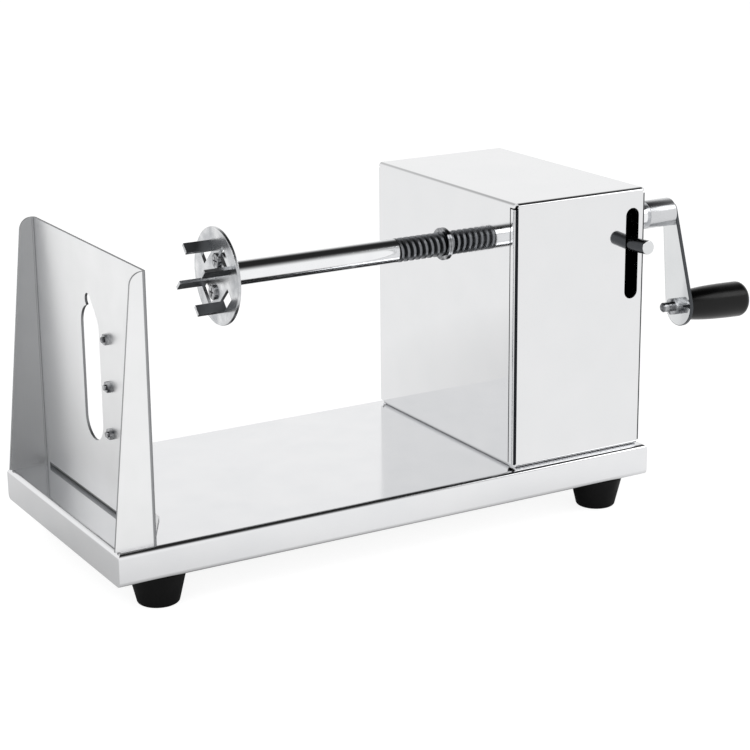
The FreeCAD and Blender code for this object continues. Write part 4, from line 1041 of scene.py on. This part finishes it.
# ---------------------------------------------------------------- studio
@dataclass
class Studio:
    """Pale floor, white room with a dim ceiling, soft lamps and the camera.

    The camera's spot and the floor's dim spot are in millimetres from the datum.
    """

    spot: tuple[float, float, float] = (-376.978, -995.173, 425.088)
    azimuth: float = -0.5239782854317704
    elevation: float = 0.29071367127516046
    roll: float = -0.010161441755464903
    lens: float = 99.1455
    sensor: float = 36.0
    clip: tuple[float, float] = (0.01, 20.0)
    wall_top: float = 0.30
    ceiling_from: float = 0.85
    ceiling: float = 0.02
    floor_half: float = 4.0
    floor_tint: str = "#f4f4f4"
    floor_grain: float = 40.0
    floor_rough: tuple[float, float] = (0.7, 0.9)
    floor_glow: float = 1.72
    floor_share: float = 0.5
    shadow_reach: float = 0.09
    shadow_samples: int = 8
    dim_spot: tuple[float, float, float] = (-70.0, 60.0, 0.0)
    dim_from: float = 0.08
    dim_to: float = 0.30
    dim: float = 0.70
    lamp_target: tuple[float, float, float] = (0.0, 0.0, 0.1)

    def camera(self) -> None:
        """Puts the camera at its spot; its axes follow from azimuth, elevation and roll."""
        level = math.cos(self.elevation)
        back = Vector((math.sin(self.azimuth) * level, -math.cos(self.azimuth) * level,
                       math.sin(self.elevation)))
        right = (-back).cross(Vector((0, 0, 1))).normalized()
        up = right.cross(-back)
        c, s = math.cos(self.roll), math.sin(self.roll)
        across = c * right + s * up
        above = -s * right + c * up
        data = bpy.data.cameras.new("studio_camera")
        data.lens = self.lens
        data.sensor_width = self.sensor
        data.clip_start, data.clip_end = self.clip
        made = new_object("studio_camera", data)
        made.matrix_world = Matrix((across, above, back)).transposed().to_4x4()
        made.location = to_frame(self.spot)
        bpy.context.scene.camera = made

    def floor(self) -> None:
        """A wide pale floor: white to the eye with a soft shadow.

        To mirrors it is white too, but for the shadow close under the object and a dim patch by
        its blade end.
        """
        half = self.floor_half
        corners = [(-half, -half, 0), (half, -half, 0), (half, half, 0), (-half, half, 0)]
        mesh = bpy.data.meshes.new("studio_floor")
        mesh.from_pydata(corners, [], [(0, 1, 2, 3)])
        piece = new_object("studio_floor", mesh)
        made = bpy.data.materials.new("studio_floor")
        tree = empty_tree(made)
        place = add_node(tree, "ShaderNodeTexCoord").outputs["Object"]
        feeds = {"Vector": place, "Scale": self.floor_grain}
        grain = add_node(tree, "ShaderNodeTexNoise", feeds).outputs["Fac"]
        rough = spread(tree, grain, *self.floor_rough, 0.0, 1.0)
        shader = add_node(tree, "ShaderNodeBsdfPrincipled", {"Roughness": rough})
        shader.inputs["Base Color"].default_value = linear(self.floor_tint)
        path = add_node(tree, "ShaderNodeLightPath").outputs
        away = vector(tree, "DISTANCE", place, tuple(to_frame(self.dim_spot))).outputs["Value"]
        near = spread(tree, away, self.dim, 1.0, self.dim_from, self.dim_to)
        under = add_node(tree, "ShaderNodeAmbientOcclusion", {"Distance": self.shadow_reach},
                         samples=self.shadow_samples)
        mirrored = number(tree, "MULTIPLY", near, under.outputs["AO"])
        level = spread(tree, path["Is Camera Ray"], mirrored, self.floor_glow, 0.0, 1.0)
        glow = add_node(tree, "ShaderNodeEmission", {"Color": (1, 1, 1, 1), "Strength": level})
        seen = number(tree, "MULTIPLY", path["Is Camera Ray"], self.floor_share)
        share = number(tree, "MAXIMUM", seen, path["Is Glossy Ray"])
        feeds = {0: share, 1: shader.outputs["BSDF"], 2: glow.outputs[0]}
        both = add_node(tree, "ShaderNodeMixShader", feeds)
        add_node(tree, "ShaderNodeOutputMaterial", {"Surface": both.outputs[0]})
        mesh.materials.append(made)

    def world(self) -> None:
        """A white room: full white to the eye, white walls and a dim ceiling on the object.

        The ceiling starts where the direction's upright part passes wall_top and is dimmest
        from ceiling_from on, so round bars and bends get dark lines between white ones.
        """
        made = bpy.data.worlds.new("studio_room")
        tree = empty_tree(made)
        path = add_node(tree, "ShaderNodeLightPath").outputs
        way = add_node(tree, "ShaderNodeTexCoord").outputs["Generated"]
        rise = add_node(tree, "ShaderNodeSeparateXYZ", {"Vector": way}).outputs["Z"]
        wall = spread(tree, rise, 1.0, self.ceiling, self.wall_top, self.ceiling_from,
                      interpolation_type="SMOOTHSTEP")
        level = number(tree, "MAXIMUM", wall, path["Is Camera Ray"])
        back = add_node(tree, "ShaderNodeBackground", {"Color": (1, 1, 1, 1), "Strength": level})
        add_node(tree, "ShaderNodeOutputWorld", {"Surface": back.outputs[0]})
        bpy.context.scene.world = made

    def lamp(self, name: str, spot: Sequence[float], size: float, power: float) -> None:
        """A square soft lamp that faces the cutter.

        Args:
            name: its name.
            spot: its place, in metres.
            size: its side, in metres.
            power: its power, in watts.
        """
        data = bpy.data.lights.new(name, "AREA")
        data.size = size
        data.energy = power
        made = new_object(name, data)
        made.location = spot
        way = Vector(self.lamp_target) - Vector(spot)
        made.rotation_euler = way.to_track_quat("-Z", "Y").to_euler()

    def build(self) -> None:
        """Sets the stage."""
        self.camera()
        self.floor()
        self.world()
        self.lamp("softbox_left", (-1.2, -0.8, 1.5), size=0.9, power=6.0)
        self.lamp("softbox_right", (1.3, -0.9, 1.2), size=0.7, power=3.0)
        bpy.context.scene.view_settings.view_transform = "Standard"


def main() -> None:
    """Builds the cutter and its stage."""
    logging.basicConfig(level=logging.INFO, format="%(name)s %(message)s")
    finishes = Finishes()
    assemblies = (BaseTray(finishes), SlicingPlate(finishes), Housing(finishes),
                  Spindle(finishes), Crank(finishes), Grip(finishes, CrankPose()),
                  ReleaseLever(finishes))
    for assembly in assemblies:
        LOG.info("%s", type(assembly).__name__)
        assembly.build()
    Studio().build()


if __name__ == "__main__":
    main()
